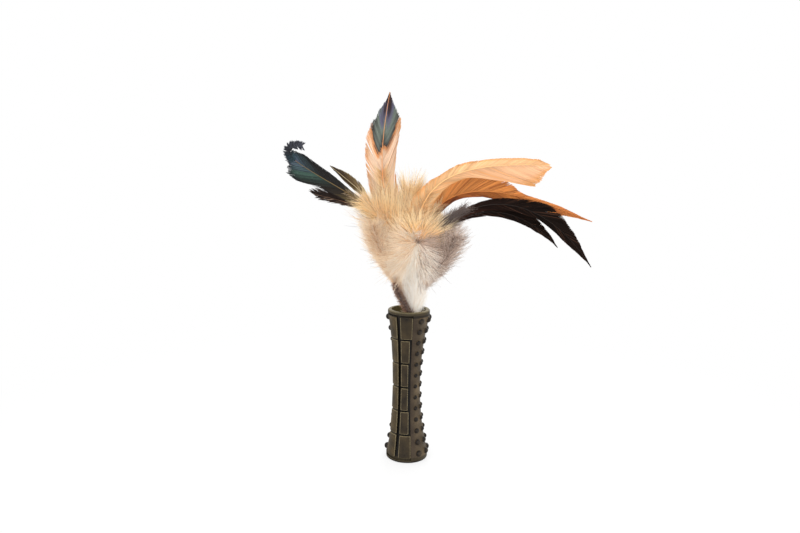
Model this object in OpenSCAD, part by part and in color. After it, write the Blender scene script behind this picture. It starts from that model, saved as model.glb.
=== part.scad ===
// Cat teaser wand: a hollow, waisted rubber handle that stands on its foot, with a bundle of
// feathers, downy plumes and a brown chenille stem held in its throat by a plug.
// Lengths are in millimetres. The foot stands on z = 0, +X is to the right and -Y faces the viewer.

/* [Handle] */
// Height of the handle
sleeve_h = 100; // [90:1:120]
// Outer radius of the ground at both ends
end_r = 13.6; // [13.4:0.1:15]
// Outer radius of the ground at the waist
waist_r = 8.1; // [8:0.05:8.6]
// Radius of the hollow at both ends
hollow_r = 11.26; // [11:0.01:11.4]
// Radius of the hollow at the waist, behind the throat
hollow_waist_r = 6.95; // [6.9:0.05:7.1]
// Height of the straight band at each end
end_band = 3.5; // [2.5:0.1:5]
// Radius of the rounded outer edges of rim and foot
edge_r = 1; // [0.5:0.1:1.4]

/* [Tiles] */
// Rows of raised tiles
tile_rows = 6; // [4:1:8]
// Height of the plain lip above and below the tiles
lip_h = 1.8; // [1.5:0.1:3]
// Width of the groove between two rows
row_gap = 1.2; // [0.8:0.1:2]
// Depth of the row grooves in the side column
row_groove = 0.5; // [0.4:0.05:0.55]
// Radius of the tiles' faces under the rim and above the foot
tile_end_r = 13.2; // [13:0.05:13.4]
// Radius of the tiles' faces at the waist
tile_waist_r = 10.2; // [9.8:0.05:10.4]
// Depth of the grooves between the tiles under the rim and above the foot
groove_depth = 1; // [0.8:0.05:1.1]
// Radius of the grooves' floor at the waist
groove_waist_r = 8; // [7.9:0.05:8]
// Angle that a tile of the front column covers in the end rows
tile_end_angle = 36; // [28:1:38]
// Angle that a tile of the front column covers at the waist
tile_waist_angle = 25; // [20:1:30]
// Angle that the side column covers
side_tile_angle = 37; // [30:1:40]
// Angle of the deep groove between the two columns
column_gap_angle = 13; // [10:1:16]
// Angle of plain groove beyond the tiles
sector_edge = 1.5; // [1:0.5:3]
// Angle at which the deep groove stands
sector_angle = -122; // [-135:1:-110]

/* [Nubs] */
// Rows of round nubs
nub_rows = 13; // [9:1:15]
// Height of the first row above the foot, and of the last below the rim
nub_end = 5.7; // [5:0.1:12]
// Radius of a nub in the end rows
nub_r = 2.1; // [1.6:0.05:2.1]
// Radius of a nub at the waist
waist_nub_r = 1.45; // [1:0.05:1.6]
// How deep the centre of a nub lies under the ground
nub_sink = 0.1; // [0.05:0.05:0.5]
// Columns of round nubs round the rest of the handle
nub_columns = 8; // [6:1:8]
// Angle between two columns of nubs
nub_angle = 32; // [28:1:33]

/* [Plug] */
// Radius of the bore in the handle's throat
throat_r = 6.4; // [6.2:0.05:6.6]
// Height at which the throat begins
throat_z = 36; // [32:1:40]
// Length of the throat
throat_l = 28; // [24:1:30]
// Radial clearance of the plug in the throat
plug_clearance = 0.05; // [0.02:0.01:0.1]
// Length of the plug below its flange
plug_l = 22; // [18:0.5:24]
// Radius of the flange that rests on the throat
flange_r = 7.05; // [6.8:0.05:7.1]
// Thickness of the flange
flange_t = 1.2; // [0.8:0.1:2]
// Radius of the glue cup
cup_r = 5.2; // [5:0.05:5.4]
// Thickness of the cup's floor
cup_floor = 3; // [2:0.1:5]
// Chamfer at the plug's lower edge
plug_chamfer = 0.8; // [0.4:0.1:1.2]
// How far the glue ends below the flange's top
glue_drop = 0.6; // [0.2:0.1:2]

/* [Quills and thread] */
// Radius of a quill where it is glued in
quill_r = 0.55; // [0.45:0.05:0.6]
// Spacing of the quills in the bundle
quill_pitch = 1.4; // [1.35:0.05:1.45]
// How far the quills stop above the cup's floor
quill_gap = 1; // [0.5:0.1:3]
// Radius of the binding thread
thread_r = 0.3; // [0.25:0.01:0.32]
// Turns of the binding thread
thread_turns = 6; // [3:1:7]
// Rise of the thread in one turn
thread_pitch = 1.05; // [1.05:0.01:1.2]
// Height at which the binding begins, above the throat
thread_rise = 13; // [10:0.5:14]

/* [Long feathers] */
// Thickness of a vane beside its shaft
vane_t = 0.5; // [0.4:0.05:0.8]
// Tip of the upright feather from the rim's centre: right, back, up
upright_tip = [-14, 7, 137]; // [-150:1:150]
// Tip of the iridescent feather
iridescent_tip = [-72.7, -9, 94.8]; // [-150:1:150]
// Tip of the small olive feather
olive_tip = [-51.7, 9, 90.5]; // [-150:1:150]
// Tip of the thin dark feather on the left
dark_left_tip = [-61.5, -1.5, 73.4]; // [-150:1:150]
// Tip of the pale feather
pale_tip = [83.1, -15, 93.2]; // [-150:1:150]
// Tip of the rust feather
rust_tip = [118, 11, 57]; // [-150:1:150]
// Tip of the upper black feather
black_upper_tip = [113.6, -9, 30.4]; // [-150:1:150]
// Tip of the lower black feather
black_lower_tip = [94.3, 1.5, 41.1]; // [-150:1:150]
// Half widths of the upright feather, to its two sides
upright_widths = [12, 9.5]; // [1:0.5:15]
// Half widths of the iridescent feather
iridescent_widths = [6.5, 9.5]; // [1:0.5:15]
// Half widths of the olive feather
olive_widths = [3.5, 2.5]; // [1:0.5:15]
// Half widths of the thin dark feather
dark_left_widths = [1.8, 2.2]; // [1:0.5:15]
// Half widths of the pale feather
pale_widths = [10, 6.5]; // [1:0.5:15]
// Half widths of the rust feather
rust_widths = [8.5, 7.5]; // [1:0.5:15]
// Half widths of the upper black feather
black_upper_widths = [8.5, 5]; // [1:0.5:15]
// Half widths of the lower black feather
black_lower_widths = [6, 4]; // [1:0.5:15]

/* [Downy plumes] */
// Reach and rise of the front plume's tip from the rim
front_plume_size = [24, 54]; // [10:1:70]
// Reach and rise of the front left plume
front_left_plume_size = [31, 58]; // [10:1:70]
// Reach and rise of the front right plume
front_right_plume_size = [36, 52]; // [10:1:70]
// Reach and rise of the back plume
back_plume_size = [24, 62]; // [10:1:70]
// Reach and rise of the back left plume
back_left_plume_size = [29, 60]; // [10:1:70]
// Reach and rise of the back right plume
back_right_plume_size = [34, 58]; // [10:1:70]
// Half thickness of a plume at its fullest
plume_t = 6; // [4:0.5:7]

/* [Chenille stem] */
// Radius of the twisted wire
wire_r = 0.6; // [0.4:0.05:0.65]
// Radius of the pile at the rim
pile_r = 2.9; // [2.4:0.1:3]
// Radius of the pile at its free tip
pile_tip_r = 2.1; // [1.6:0.1:2.6]
// Radius of the pile where it begins inside the handle
pile_start_r = 1.7; // [1.2:0.1:1.8]
// Length of one tuft band of the pile
pile_band = 2; // [1.5:0.1:4]
// Gap between the stem and the quills
stem_gap = 0.15; // [0.1:0.05:0.5]
// Free tip of the stem from the rim's centre: right, back, up
stem_tip = [-9.4, -14, 18.5]; // [-20:0.5:20]

/* [Hidden] */

// One overrun serves every cut
cut = 1;

// Hollow, ground, tiles and grooves each have a waisted line, an arc about a centre outside the handle
mid_z = sleeve_h / 2;
arc_half = mid_z - end_band;
function arc_r(middle, end) = (arc_half * arc_half + pow(end - middle, 2)) / (2 * (end - middle));
function waisted_r(middle, end, z) =
    middle + arc_r(middle, end) - sqrt(pow(arc_r(middle, end), 2) - pow(z - mid_z, 2));
function ground_r(z) = waisted_r(waist_r, end_r, z);
groove_end_r = tile_end_r - groove_depth;

// The ground has one cone for each row of nubs, and the grooves one stretch for each row of tiles
nub_span = sleeve_h - 2 * nub_end;
nub_pitch = nub_span / (nub_rows - 1);
band_edges = [for (i = [0:nub_rows]) mid_z + (i - nub_rows / 2) * nub_pitch];
ground_heights = concat([end_band],
    [for (z = band_edges) if (z > end_band + edge_r && z < sleeve_h - end_band - edge_r) z],
    [sleeve_h - end_band]);
tile_pitch = (sleeve_h - 2 * lip_h - row_gap) / tile_rows;
groove_heights = concat([lip_h],
    [for (i = [0:2 * tile_rows]) lip_h + row_gap / 2 + i * tile_pitch / 2],
    [sleeve_h - lip_h]);

throat_top = throat_z + throat_l;
hollow_steps = 4;
foot_heights = [for (i = [0:hollow_steps]) mix(end_band, throat_z, i / hollow_steps)];
mouth_heights = [for (i = [0:hollow_steps]) mix(throat_top, sleeve_h - end_band, i / hollow_steps)];
tile_sink = groove_depth / 4;
tile_chamfer = groove_depth / 4;
column_edge_angle = column_gap_angle / 2;
sector_low_angle = -column_edge_angle - side_tile_angle - sector_edge;
sector_high_angle = column_edge_angle + tile_end_angle + sector_edge;

plug_z = throat_top - plug_l;
plug_r = throat_r - plug_clearance;
flange_top = throat_top + flange_t;
cup_z = plug_z + cup_floor;
glue_top = flange_top - glue_drop;
quill_z = cup_z + quill_gap;
bundle_r = 2 * quill_pitch + quill_r;

// Sides of a quill, and of every section lofted from one
sides = 12;
feather_stations = 34;
plume_stations = 14;

// Where each quill stands in the bundle, in shares of the quill spacing on a hexagonal grid
row_share = sqrt(3) / 2;
upright_slot_shares = [0, 0];
iridescent_slot_shares = [-1, 0];
dark_left_slot_shares = [-2, 0];
olive_slot_shares = [-0.5, row_share];
pale_slot_shares = [0.5, -row_share];
rust_slot_shares = [0.5, row_share];
black_upper_slot_shares = [1, 0];
black_lower_slot_shares = [2, 0];
front_slot_shares = [0, -2 * row_share];
front_left_slot_shares = [-1.5, -row_share];
front_right_slot_shares = [1.5, -row_share];
back_slot_shares = [0, 2 * row_share];
back_left_slot_shares = [-1.5, row_share];
back_right_slot_shares = [1.5, row_share];

// How a feather bends: how far it climbs straight, and its second bend point, in shares of its tip
upright_bend_shares = [0.51, 2.11, 0.76, 0.37];
iridescent_bend_shares = [0.71, 0.47, 0.72, 0.71];
olive_bend_shares = [0.61, 0.56, 0.89, 0.8];
dark_left_bend_shares = [0.88, 0.49, 1.11, 0.89];
pale_bend_shares = [0.78, 0.03, 1.1, 1.03];
rust_bend_shares = [1.49, 0.3, 1.29, 1.57];
black_upper_bend_shares = [2.12, 0.57, 1.35, 3.32];
black_lower_bend_shares = [1.51, 0.6, 1.19, 2.04];

// Where a vane begins and where it is widest, in shares of the free length, and its two end shapes
upright_form_shares = [0.3, 0.72, 0.7, 0.45];
iridescent_form_shares = [0.55, 0.9, 0.8, 0.35];
olive_form_shares = [0.62, 0.82, 0.8, 0.7];
dark_left_form_shares = [0.7, 0.86, 0.9, 1];
pale_form_shares = [0.36, 0.88, 0.7, 0.4];
rust_form_shares = [0.34, 0.55, 0.6, 0.8];
black_upper_form_shares = [0.34, 0.66, 0.7, 0.8];
black_lower_form_shares = [0.36, 0.74, 0.7, 0.8];

// A section of a vane: how far each point lies out, and on which face of the vane
out_shares = [1, 0.55, 0.12, 0, -0.12, -0.55, -1, -0.55, -0.12, 0, 0.12, 0.55];
face_signs = [0, 1, 1, 1, 1, 1, 0, -1, -1, -1, -1, -1];
slant_share = 0.55;
camber_share = 0.16;
fray_share = 0.13;
shaft_tip_share = 0.35;

// Directions in which the plumes lean out
front_angle = -90;
side_angle = 50;
quarter_angle = 90;
front_left_angle = front_angle - side_angle;
front_right_angle = front_angle + side_angle;
back_angle = -front_angle;
back_left_angle = back_angle + side_angle;
back_right_angle = back_angle - side_angle;

// Bend of a plume: straight climb, then reach and rise of its second bend point
plume_bend_shares = [0.26, 0.72, 0.5];
plume_width_share = 0.44;
plume_lobe_share = 0.12;
plume_start_share = 0.18;

// How a plume swells along its length and across it, as powers, and how its lobes turn with each ring
plume_swell_shares = [1.15, 0.6, 0.5];
lobe_angle = 67;

// The chenille stem climbs in half a turn round the quills, from the glue to the rim
stem_foot_r = bundle_r + wire_r + stem_gap;
stem_rim_r = bundle_r + pile_r + stem_gap;
stem_z = flange_top + flange_t;
stem_top_z = sleeve_h - edge_r;
thread_z = throat_top + thread_rise;
thread_top = thread_z + thread_turns * thread_pitch;
pile_z = thread_top + 2 * thread_r;
pile_tuft_share = 0.15;
pile_sides = 8;

function mix(a, b, share) = a + (b - a) * share;
function unit(v) = v / norm(v);
function clamp(x, low, high) = min(max(x, low), high);

// Bezier curve from a bundle slot to a feather's tip
function bezier(p, t) = pow(1 - t, 3) * p[0] + 3 * t * pow(1 - t, 2) * p[1]
    + 3 * t * t * (1 - t) * p[2] + pow(t, 3) * p[3];
function bezier_way(p, t) = unit(pow(1 - t, 2) * (p[1] - p[0])
    + 2 * t * (1 - t) * (p[2] - p[1]) + t * t * (p[3] - p[2]));
function slot_at(slot_shares, z) = [slot_shares[0] * quill_pitch, slot_shares[1] * quill_pitch, z];
function feather_route(slot_shares, tip, bend_shares) =
    let (foot = slot_at(slot_shares, sleeve_h), rim = [0, 0, sleeve_h])
    [foot, foot + [0, 0, bend_shares[0] * tip[2]],
        rim + [bend_shares[1] * tip[0], bend_shares[2] * tip[1], bend_shares[3] * tip[2]], rim + tip];

// Width of a vane at share t of the free length: it swells, then draws in to the tip
function vane_share(t, form_shares) =
    let (start = form_shares[0], peak = form_shares[1])
    t <= start || t >= 1 ? 0
    : t < peak ? pow(sin(90 * (t - start) / (peak - start)), form_shares[2])
    : pow(cos(90 * (t - peak) / (1 - peak)), form_shares[3]);

// Faces of a loft with a flat first ring and a point as its last; rings run clockwise from the tip
function loft_faces(rings, n) = concat(
    [[for (k = [n - 1:-1:0]) k]],
    [for (i = [0:rings - 2], k = [0:n - 1]) [i * n + k, i * n + (k + 1) % n, (i + 1) * n + (k + 1) % n]],
    [for (i = [0:rings - 2], k = [0:n - 1]) [i * n + k, (i + 1) * n + (k + 1) % n, (i + 1) * n + k]],
    [for (k = [0:n - 1]) [(rings - 1) * n + k, (rings - 1) * n + (k + 1) % n, rings * n]]);

// One section of a feather: a round shaft with a thin cambered vane to each side
function feather_ring(c, way, face, shaft, widths, share) =
    let (across = unit(cross(way, face)), up = cross(across, way))
    [for (k = [0:sides - 1])
        let (angle = 360 * k / sides, side = out_shares[k] < 0 ? 1 : 0,
            w = widths[side] * share,
            out = out_shares[k] * w,
            x = abs(out) > abs(cos(angle) * shaft) ? out : cos(angle) * shaft,
            flat = clamp(w / (3 * shaft), 0, 1),
            body = out_shares[k] == 0 ? sin(angle) * shaft
                : mix(sin(angle) * shaft, face_signs[k] * min(vane_t / 2, shaft), flat),
            fall = camber_share * pow(out_shares[k], 2) * w)
        c + across * x + up * (body - fall) + way * (slant_share * abs(out))];

module feather(slot_shares, tip, bend_shares, form_shares, widths, face = [0, -1, 0]) {
    route = feather_route(slot_shares, tip, bend_shares);
    shares = [for (i = [0:feather_stations - 1]) i / feather_stations];
    foot = feather_ring(slot_at(slot_shares, quill_z), [0, 0, 1], face, quill_r, widths, 0);
    free = [for (i = [0:feather_stations - 1])
        let (t = shares[i], fray = i % 2 == 0 ? 1 : 1 - fray_share)
        feather_ring(bezier(route, t), bezier_way(route, t), face,
            quill_r * mix(1, shaft_tip_share, t), widths, vane_share(t, form_shares) * fray)];
    rings = concat([foot], free);
    points = concat([for (ring = rings) each ring], [route[3]]);
    polyhedron(points, loft_faces(len(rings), sides));
}

// A plume: its quill swells into a soft lobed mass that leans out of the bundle
function plume_ring(c, way, face, wide, thick, turn) =
    let (across = unit(cross(way, face)), up = cross(across, way), lobe = wide > quill_r ? plume_lobe_share : 0)
    [for (k = [0:sides - 1])
        let (angle = 360 * k / sides, swell = 1 + lobe * cos(3 * angle + turn))
        c + across * cos(angle) * wide * swell + up * sin(angle) * thick * swell];

module plume(slot_shares, size, turn) {
    lean = [cos(turn), sin(turn), 0];
    foot = slot_at(slot_shares, sleeve_h);
    bends = [for (p = [[0, plume_bend_shares[0]], [plume_bend_shares[1], plume_bend_shares[2]], [1, 1]])
        lean * p[0] * size[0] + [0, 0, p[1] * size[1]]];
    route = [foot, foot + bends[0], foot + bends[1], foot + bends[2]];
    first = plume_ring(slot_at(slot_shares, quill_z), [0, 0, 1], lean, quill_r, quill_r, 0);
    free = [for (i = [0:plume_stations - 1])
        let (t = i / plume_stations,
            u = clamp((t - plume_start_share) / (1 - plume_start_share), 0, 1),
            bulk = pow(sin(180 * pow(u, plume_swell_shares[0])), plume_swell_shares[1]),
            c = bezier(route, t),
            wide = max(quill_r, plume_width_share * norm([c[0], c[1]]) * pow(bulk, plume_swell_shares[2])),
            thick = max(quill_r, plume_t * bulk * min(1, norm([c[0], c[1]]) / (2 * plume_t))))
        plume_ring(c, bezier_way(route, t), lean,
            t <= plume_start_share ? quill_r : wide, t <= plume_start_share ? quill_r : thick, lobe_angle * i)];
    rings = concat([first], free);
    points = concat([for (ring = rings) each ring], [route[3]]);
    polyhedron(points, loft_faces(len(rings), sides));
}

// Hole for one quill, with the quill's own sides
module quill_hole(slot_shares, turn) {
    translate(slot_at(slot_shares, quill_z))
        rotate([0, 0, turn])
            cylinder(r = quill_r, h = sleeve_h, $fn = sides);
}

// Points at the given heights of a line with a waist
function waisted_line(heights, middle, end) = [for (z = heights) [waisted_r(middle, end, z), z]];

// Region between a waisted line and the axis, or between it and a radius outside the handle
module within(heights, middle, end) {
    polygon(concat([[0, heights[0]]], waisted_line(heights, middle, end), [[0, heights[len(heights) - 1]]]));
}
module beyond(heights, middle, end) {
    polygon(concat([[end_r + cut, heights[0]]], waisted_line(heights, middle, end),
        [[end_r + cut, heights[len(heights) - 1]]]));
}

// End band with its rounded outer edge, for the rim; the foot is its mirror image
module end_profile() {
    difference() {
        square([end_r, end_band]);
        translate([end_r - edge_r, end_band - edge_r])
            difference() {
                square(edge_r + cut);
                circle(r = edge_r, $fn = 90);
            }
    }
}

module ground_profile() {
    within(ground_heights, waist_r, end_r);
    translate([0, sleeve_h - end_band])
        end_profile();
    translate([0, end_band])
        mirror([0, 1])
            end_profile();
}

// Hollow from the foot to the throat, the throat's bore, and hollow from the throat to the mouth
module hollow_profile() {
    polygon(concat(
        [[0, -cut], [hollow_r, -cut]],
        waisted_line(foot_heights, hollow_waist_r, hollow_r),
        [[throat_r, throat_z], [throat_r, throat_top]],
        waisted_line(mouth_heights, hollow_waist_r, hollow_r),
        [[hollow_r, sleeve_h + cut], [0, sleeve_h + cut]]));
}

function tile_low(row) = lip_h + row_gap + row * tile_pitch;
function tile_high(row) = tile_low(row) + tile_pitch - row_gap;

// Line along a tile's back, inside the wall
function tile_back(heights) = waisted_line(heights, groove_waist_r - tile_sink, groove_end_r - tile_sink);

// Line over a tile's face, with chamfered edges above and below
function tile_face(low, high) = concat(
    waisted_line([low], tile_waist_r - tile_chamfer, tile_end_r - tile_chamfer),
    waisted_line([low + tile_chamfer, high - tile_chamfer], tile_waist_r, tile_end_r),
    waisted_line([high], tile_waist_r - tile_chamfer, tile_end_r - tile_chamfer));

// The front column's tiles stand apart and grow narrower towards the waist
module front_column() {
    for (row = [0:tile_rows - 1])
        let (low = tile_low(row), high = tile_high(row),
            away = pow(abs(2 * row / (tile_rows - 1) - 1), 2))
            rotate_extrude(angle = mix(tile_waist_angle, tile_end_angle, away), $fn = 180)
                polygon(concat(tile_back([high, low]), tile_face(low, high)));
}

// The side column's tiles share one body, with shallower grooves between them
module side_column() {
    low_r = tile_waist_r - row_groove;
    high_r = tile_end_r - row_groove;
    rotate_extrude(angle = side_tile_angle, $fn = 180)
        polygon(concat(
            tile_back([for (row = [tile_rows - 1:-1:0]) each [tile_high(row), tile_low(row)]]),
            tile_face(tile_low(0), tile_high(0)),
            [for (row = [1:tile_rows - 1]) each concat(
                waisted_line([tile_high(row - 1), tile_low(row)], low_r, high_r),
                tile_face(tile_low(row), tile_high(row)))]));
}

module nub_column() {
    for (row = [0:nub_rows - 1])
        let (z = mid_z - nub_span / 2 + row * nub_pitch,
            away = pow(2 * abs(z - mid_z) / nub_span, 2),
            r = mix(waist_nub_r, nub_r, away))
            translate([ground_r(z) - nub_sink, 0, z])
                sphere(r = r, $fn = 24);
}

module rubber_sleeve() {
    color([0.30, 0.27, 0.19])
        difference() {
            union() {
                difference() {
                    rotate([0, 0, sector_angle])
                        rotate_extrude($fn = 180)
                            ground_profile();
                    rotate([0, 0, sector_angle + sector_low_angle])
                        rotate_extrude(angle = sector_high_angle - sector_low_angle, $fn = 180)
                            beyond(groove_heights, groove_waist_r, groove_end_r);
                }
                rotate([0, 0, sector_angle + column_edge_angle])
                    front_column();
                rotate([0, 0, sector_angle - column_edge_angle - side_tile_angle])
                    side_column();
                for (column = [0:nub_columns - 1])
                    rotate([0, 0, sector_angle + 2 * quarter_angle
                            + (column - (nub_columns - 1) / 2) * nub_angle])
                        nub_column();
            }
            rotate([0, 0, sector_angle])
                rotate_extrude($fn = 180)
                    hollow_profile();
        }
}

module bundle_plug() {
    color([0.85, 0.84, 0.80])
        rotate_extrude($fn = 120)
            difference() {
                union() {
                    translate([0, plug_z])
                        square([plug_r, plug_l]);
                    translate([0, throat_top])
                        square([flange_r, flange_t]);
                }
                translate([0, cup_z])
                    square([cup_r, flange_top - cup_z + cut]);
                translate([plug_r, plug_z])
                    rotate(45)
                        square(plug_chamfer * sqrt(2), center = true);
            }
}

module glue_fill() {
    color([0.93, 0.88, 0.72, 0.8])
        difference() {
            translate([0, 0, cup_z])
                cylinder(r = cup_r, h = glue_top - cup_z, $fn = 120);
            for (slot_shares = [upright_slot_shares, iridescent_slot_shares, dark_left_slot_shares,
                    olive_slot_shares, pale_slot_shares, rust_slot_shares,
                    black_upper_slot_shares, black_lower_slot_shares])
                quill_hole(slot_shares, 0);
            quill_hole(front_slot_shares, front_angle + quarter_angle);
            quill_hole(front_left_slot_shares, front_left_angle + quarter_angle);
            quill_hole(front_right_slot_shares, front_right_angle + quarter_angle);
            quill_hole(back_slot_shares, back_angle + quarter_angle);
            quill_hole(back_left_slot_shares, back_left_angle + quarter_angle);
            quill_hole(back_right_slot_shares, back_right_angle + quarter_angle);
            translate([0, stem_foot_r, quill_z])
                cylinder(r = wire_r, h = sleeve_h, $fn = pile_sides);
        }
}

// Helix of the binding thread, with a straight end of one thread's width at both ends
thread_lay_r = bundle_r + thread_r + plug_clearance;
thread_steps = 24;
thread_sides = 6;
function thread_point(turn) =
    [thread_lay_r * cos(360 * turn), thread_lay_r * sin(360 * turn), thread_z + thread_pitch * turn];
function thread_way(turn) = unit([-2 * PI * thread_lay_r * sin(360 * turn),
    2 * PI * thread_lay_r * cos(360 * turn), thread_pitch]);
thread_centres = concat([thread_point(0) - thread_way(0) * 2 * thread_r],
    [for (i = [0:thread_turns * thread_steps]) thread_point(i / thread_steps)],
    [thread_point(thread_turns) + thread_way(thread_turns) * 2 * thread_r]);
thread_ways = concat([thread_way(0)], [for (i = [0:thread_turns * thread_steps]) thread_way(i / thread_steps)],
    [thread_way(thread_turns)]);
thread_gap = min([for (i = [0:thread_steps])
    norm(thread_point(1 + i / thread_steps) - thread_point(i / thread_steps))]) - 2 * thread_r;
echo(least_gap_between_thread_turns = thread_gap);

// A tube of equal rings through centres, flat at both ends
function tube_rings(centres, ways, radii, n, turn) = [for (i = [0:len(centres) - 1])
    let (across = unit(cross(ways[i], turn)), up = cross(across, ways[i]))
    each [for (k = [0:n - 1]) centres[i] + radii[i] * (across * cos(360 * k / n) + up * sin(360 * k / n))]];
function tube_faces(rings, n, first) = concat(
    [for (i = [0:rings - 2], k = [0:n - 1])
        [first + i * n + k, first + i * n + (k + 1) % n, first + (i + 1) * n + (k + 1) % n]],
    [for (i = [0:rings - 2], k = [0:n - 1])
        [first + i * n + k, first + (i + 1) * n + (k + 1) % n, first + (i + 1) * n + k]]);

module binding_thread() {
    count = len(thread_centres);
    points = tube_rings(thread_centres, thread_ways, [for (c = thread_centres) thread_r], thread_sides, [0, 0, 1]);
    faces = concat([[for (k = [thread_sides - 1:-1:0]) k]], tube_faces(count, thread_sides, 0),
        [[for (k = [0:thread_sides - 1]) (count - 1) * thread_sides + k]]);
    color([0.85, 0.80, 0.70])
        polyhedron(points, faces);
}

module upright_feather() {
    color([0.88, 0.66, 0.50])
        feather(upright_slot_shares, upright_tip, upright_bend_shares, upright_form_shares, upright_widths);
}

module iridescent_feather() {
    color([0.20, 0.36, 0.34])
        feather(iridescent_slot_shares, iridescent_tip, iridescent_bend_shares,
            iridescent_form_shares, iridescent_widths);
}

module olive_feather() {
    color([0.42, 0.36, 0.20])
        feather(olive_slot_shares, olive_tip, olive_bend_shares, olive_form_shares, olive_widths);
}

module dark_left_feather() {
    color([0.25, 0.16, 0.11])
        feather(dark_left_slot_shares, dark_left_tip, dark_left_bend_shares,
            dark_left_form_shares, dark_left_widths);
}

module pale_feather() {
    color([0.97, 0.80, 0.60])
        feather(pale_slot_shares, pale_tip, pale_bend_shares, pale_form_shares, pale_widths);
}

module rust_feather() {
    color([0.80, 0.42, 0.16])
        feather(rust_slot_shares, rust_tip, rust_bend_shares, rust_form_shares, rust_widths);
}

module black_upper_feather() {
    color([0.10, 0.08, 0.07])
        feather(black_upper_slot_shares, black_upper_tip, black_upper_bend_shares,
            black_upper_form_shares, black_upper_widths);
}

module black_lower_feather() {
    color([0.13, 0.10, 0.08])
        feather(black_lower_slot_shares, black_lower_tip, black_lower_bend_shares,
            black_lower_form_shares, black_lower_widths);
}

module front_plume() {
    color([0.93, 0.86, 0.77])
        plume(front_slot_shares, front_plume_size, front_angle);
}

module front_left_plume() {
    color([0.92, 0.82, 0.70])
        plume(front_left_slot_shares, front_left_plume_size, front_left_angle);
}

module front_right_plume() {
    color([0.70, 0.60, 0.54])
        plume(front_right_slot_shares, front_right_plume_size, front_right_angle);
}

module back_plume() {
    color([0.90, 0.74, 0.52])
        plume(back_slot_shares, back_plume_size, back_angle);
}

module back_left_plume() {
    color([0.91, 0.80, 0.67])
        plume(back_left_slot_shares, back_left_plume_size, back_left_angle);
}

module back_right_plume() {
    color([0.66, 0.55, 0.49])
        plume(back_right_slot_shares, back_right_plume_size, back_right_angle);
}

// The stem's route: half a turn up round the quills, then a gentle bend out to its free tip
stem_climb = stem_top_z - stem_z;
stem_free = sleeve_h + stem_tip[2] - stem_top_z;
stem_slope = -PI * stem_rim_r / stem_climb;
stem_out = (stem_rim_r - stem_foot_r) / stem_climb;
function helix_point(s) =
    let (r = mix(stem_foot_r, stem_rim_r, s))
    [r * sin(180 * s), r * cos(180 * s), mix(stem_z, stem_top_z, s)];
function free_point(s) =
    let (d = s * stem_free)
    [stem_slope * d + (stem_tip[0] - stem_slope * stem_free) * s * s,
        -stem_rim_r - stem_out * d + (stem_tip[1] + stem_rim_r + stem_out * stem_free) * s * s,
        stem_top_z + d];
stem_turn_steps = 18;
stem_free_steps = round(stem_free / pile_band);
stem_points = concat([for (i = [0:stem_turn_steps]) helix_point(i / stem_turn_steps)],
    [for (i = [1:stem_free_steps]) free_point(i / stem_free_steps)]);
stem_foot = [0, stem_foot_r, quill_z];
stem_centres = concat([stem_foot, [0, stem_foot_r, stem_z - flange_t / 2]], stem_points);
function way_at(points, i) = unit(points[min(i + 1, len(points) - 1)] - points[max(i - 1, 0)]);
stem_ways = [for (i = [0:len(stem_centres) - 1]) i < 2 ? [0, 0, 1] : way_at(stem_centres, i)];

module chenille_core() {
    count = len(stem_centres);
    points = tube_rings(stem_centres, stem_ways, [for (c = stem_centres) wire_r], pile_sides, [0, -1, 0]);
    faces = concat([[for (k = [pile_sides - 1:-1:0]) k]], tube_faces(count, pile_sides, 0),
        [[for (k = [0:pile_sides - 1]) (count - 1) * pile_sides + k]]);
    color([0.35, 0.30, 0.27])
        polyhedron(points, faces);
}

// Radius of the pile along the stem: drawn in inside the handle, fullest at the rim, banded by its tufts
pile_first = min([for (i = [0:len(stem_centres) - 1]) if (stem_centres[i][2] >= pile_z) i]);
pile_last = len(stem_centres) - 1;
function pile_radius(z) = z < sleeve_h
    ? mix(pile_start_r, pile_r, (z - pile_z) / (sleeve_h - pile_z))
    : mix(pile_r, pile_tip_r, (z - sleeve_h) / stem_tip[2]);
pile_indices = [for (i = [pile_first:pile_last]) i];

module chenille_pile() {
    centres = [for (i = pile_indices) stem_centres[i]];
    ways = [for (i = pile_indices) stem_ways[i]];
    outer = tube_rings(centres, ways, [for (i = [0:len(centres) - 1])
        pile_radius(centres[i][2]) * (i % 2 == 0 ? 1 : 1 - pile_tuft_share)], pile_sides, [0, -1, 0]);
    inner = tube_rings(centres, ways, [for (c = centres) wire_r], pile_sides, [0, -1, 0]);
    count = len(centres);
    far = count * pile_sides;
    last = (count - 1) * pile_sides;
    inside = [for (f = tube_faces(count, pile_sides, far)) [f[2], f[1], f[0]]];
    foot = [for (k = [0:pile_sides - 1]) let (n = (k + 1) % pile_sides)
        each [[k, far + k, far + n], [k, far + n, n]]];
    tip = [for (k = [0:pile_sides - 1]) let (n = (k + 1) % pile_sides)
        each [[last + k, far + last + n, far + last + k], [last + k, last + n, far + last + n]]];
    color([0.36, 0.23, 0.17])
        polyhedron(concat(outer, inner), concat(tube_faces(count, pile_sides, 0), inside, foot, tip));
}

rubber_sleeve();
bundle_plug();
glue_fill();
binding_thread();
upright_feather();
iridescent_feather();
olive_feather();
dark_left_feather();
pale_feather();
rust_feather();
black_upper_feather();
black_lower_feather();
front_plume();
front_left_plume();
front_right_plume();
back_plume();
back_left_plume();
back_right_plume();
chenille_core();
chenille_pile();
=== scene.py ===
"""Cat teaser wand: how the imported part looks, in metres and in the CAD frame.

The handle, plug, glue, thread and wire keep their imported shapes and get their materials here. The long
feathers, the downy plumes and the stem's pile are soft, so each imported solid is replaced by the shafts,
barbs and fibres of the real thing, grown along the same routes.
"""
import logging
import math
from dataclasses import dataclass
from enum import Enum
from typing import ClassVar, Sequence

import bpy
from mathutils import Matrix, Vector


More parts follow.
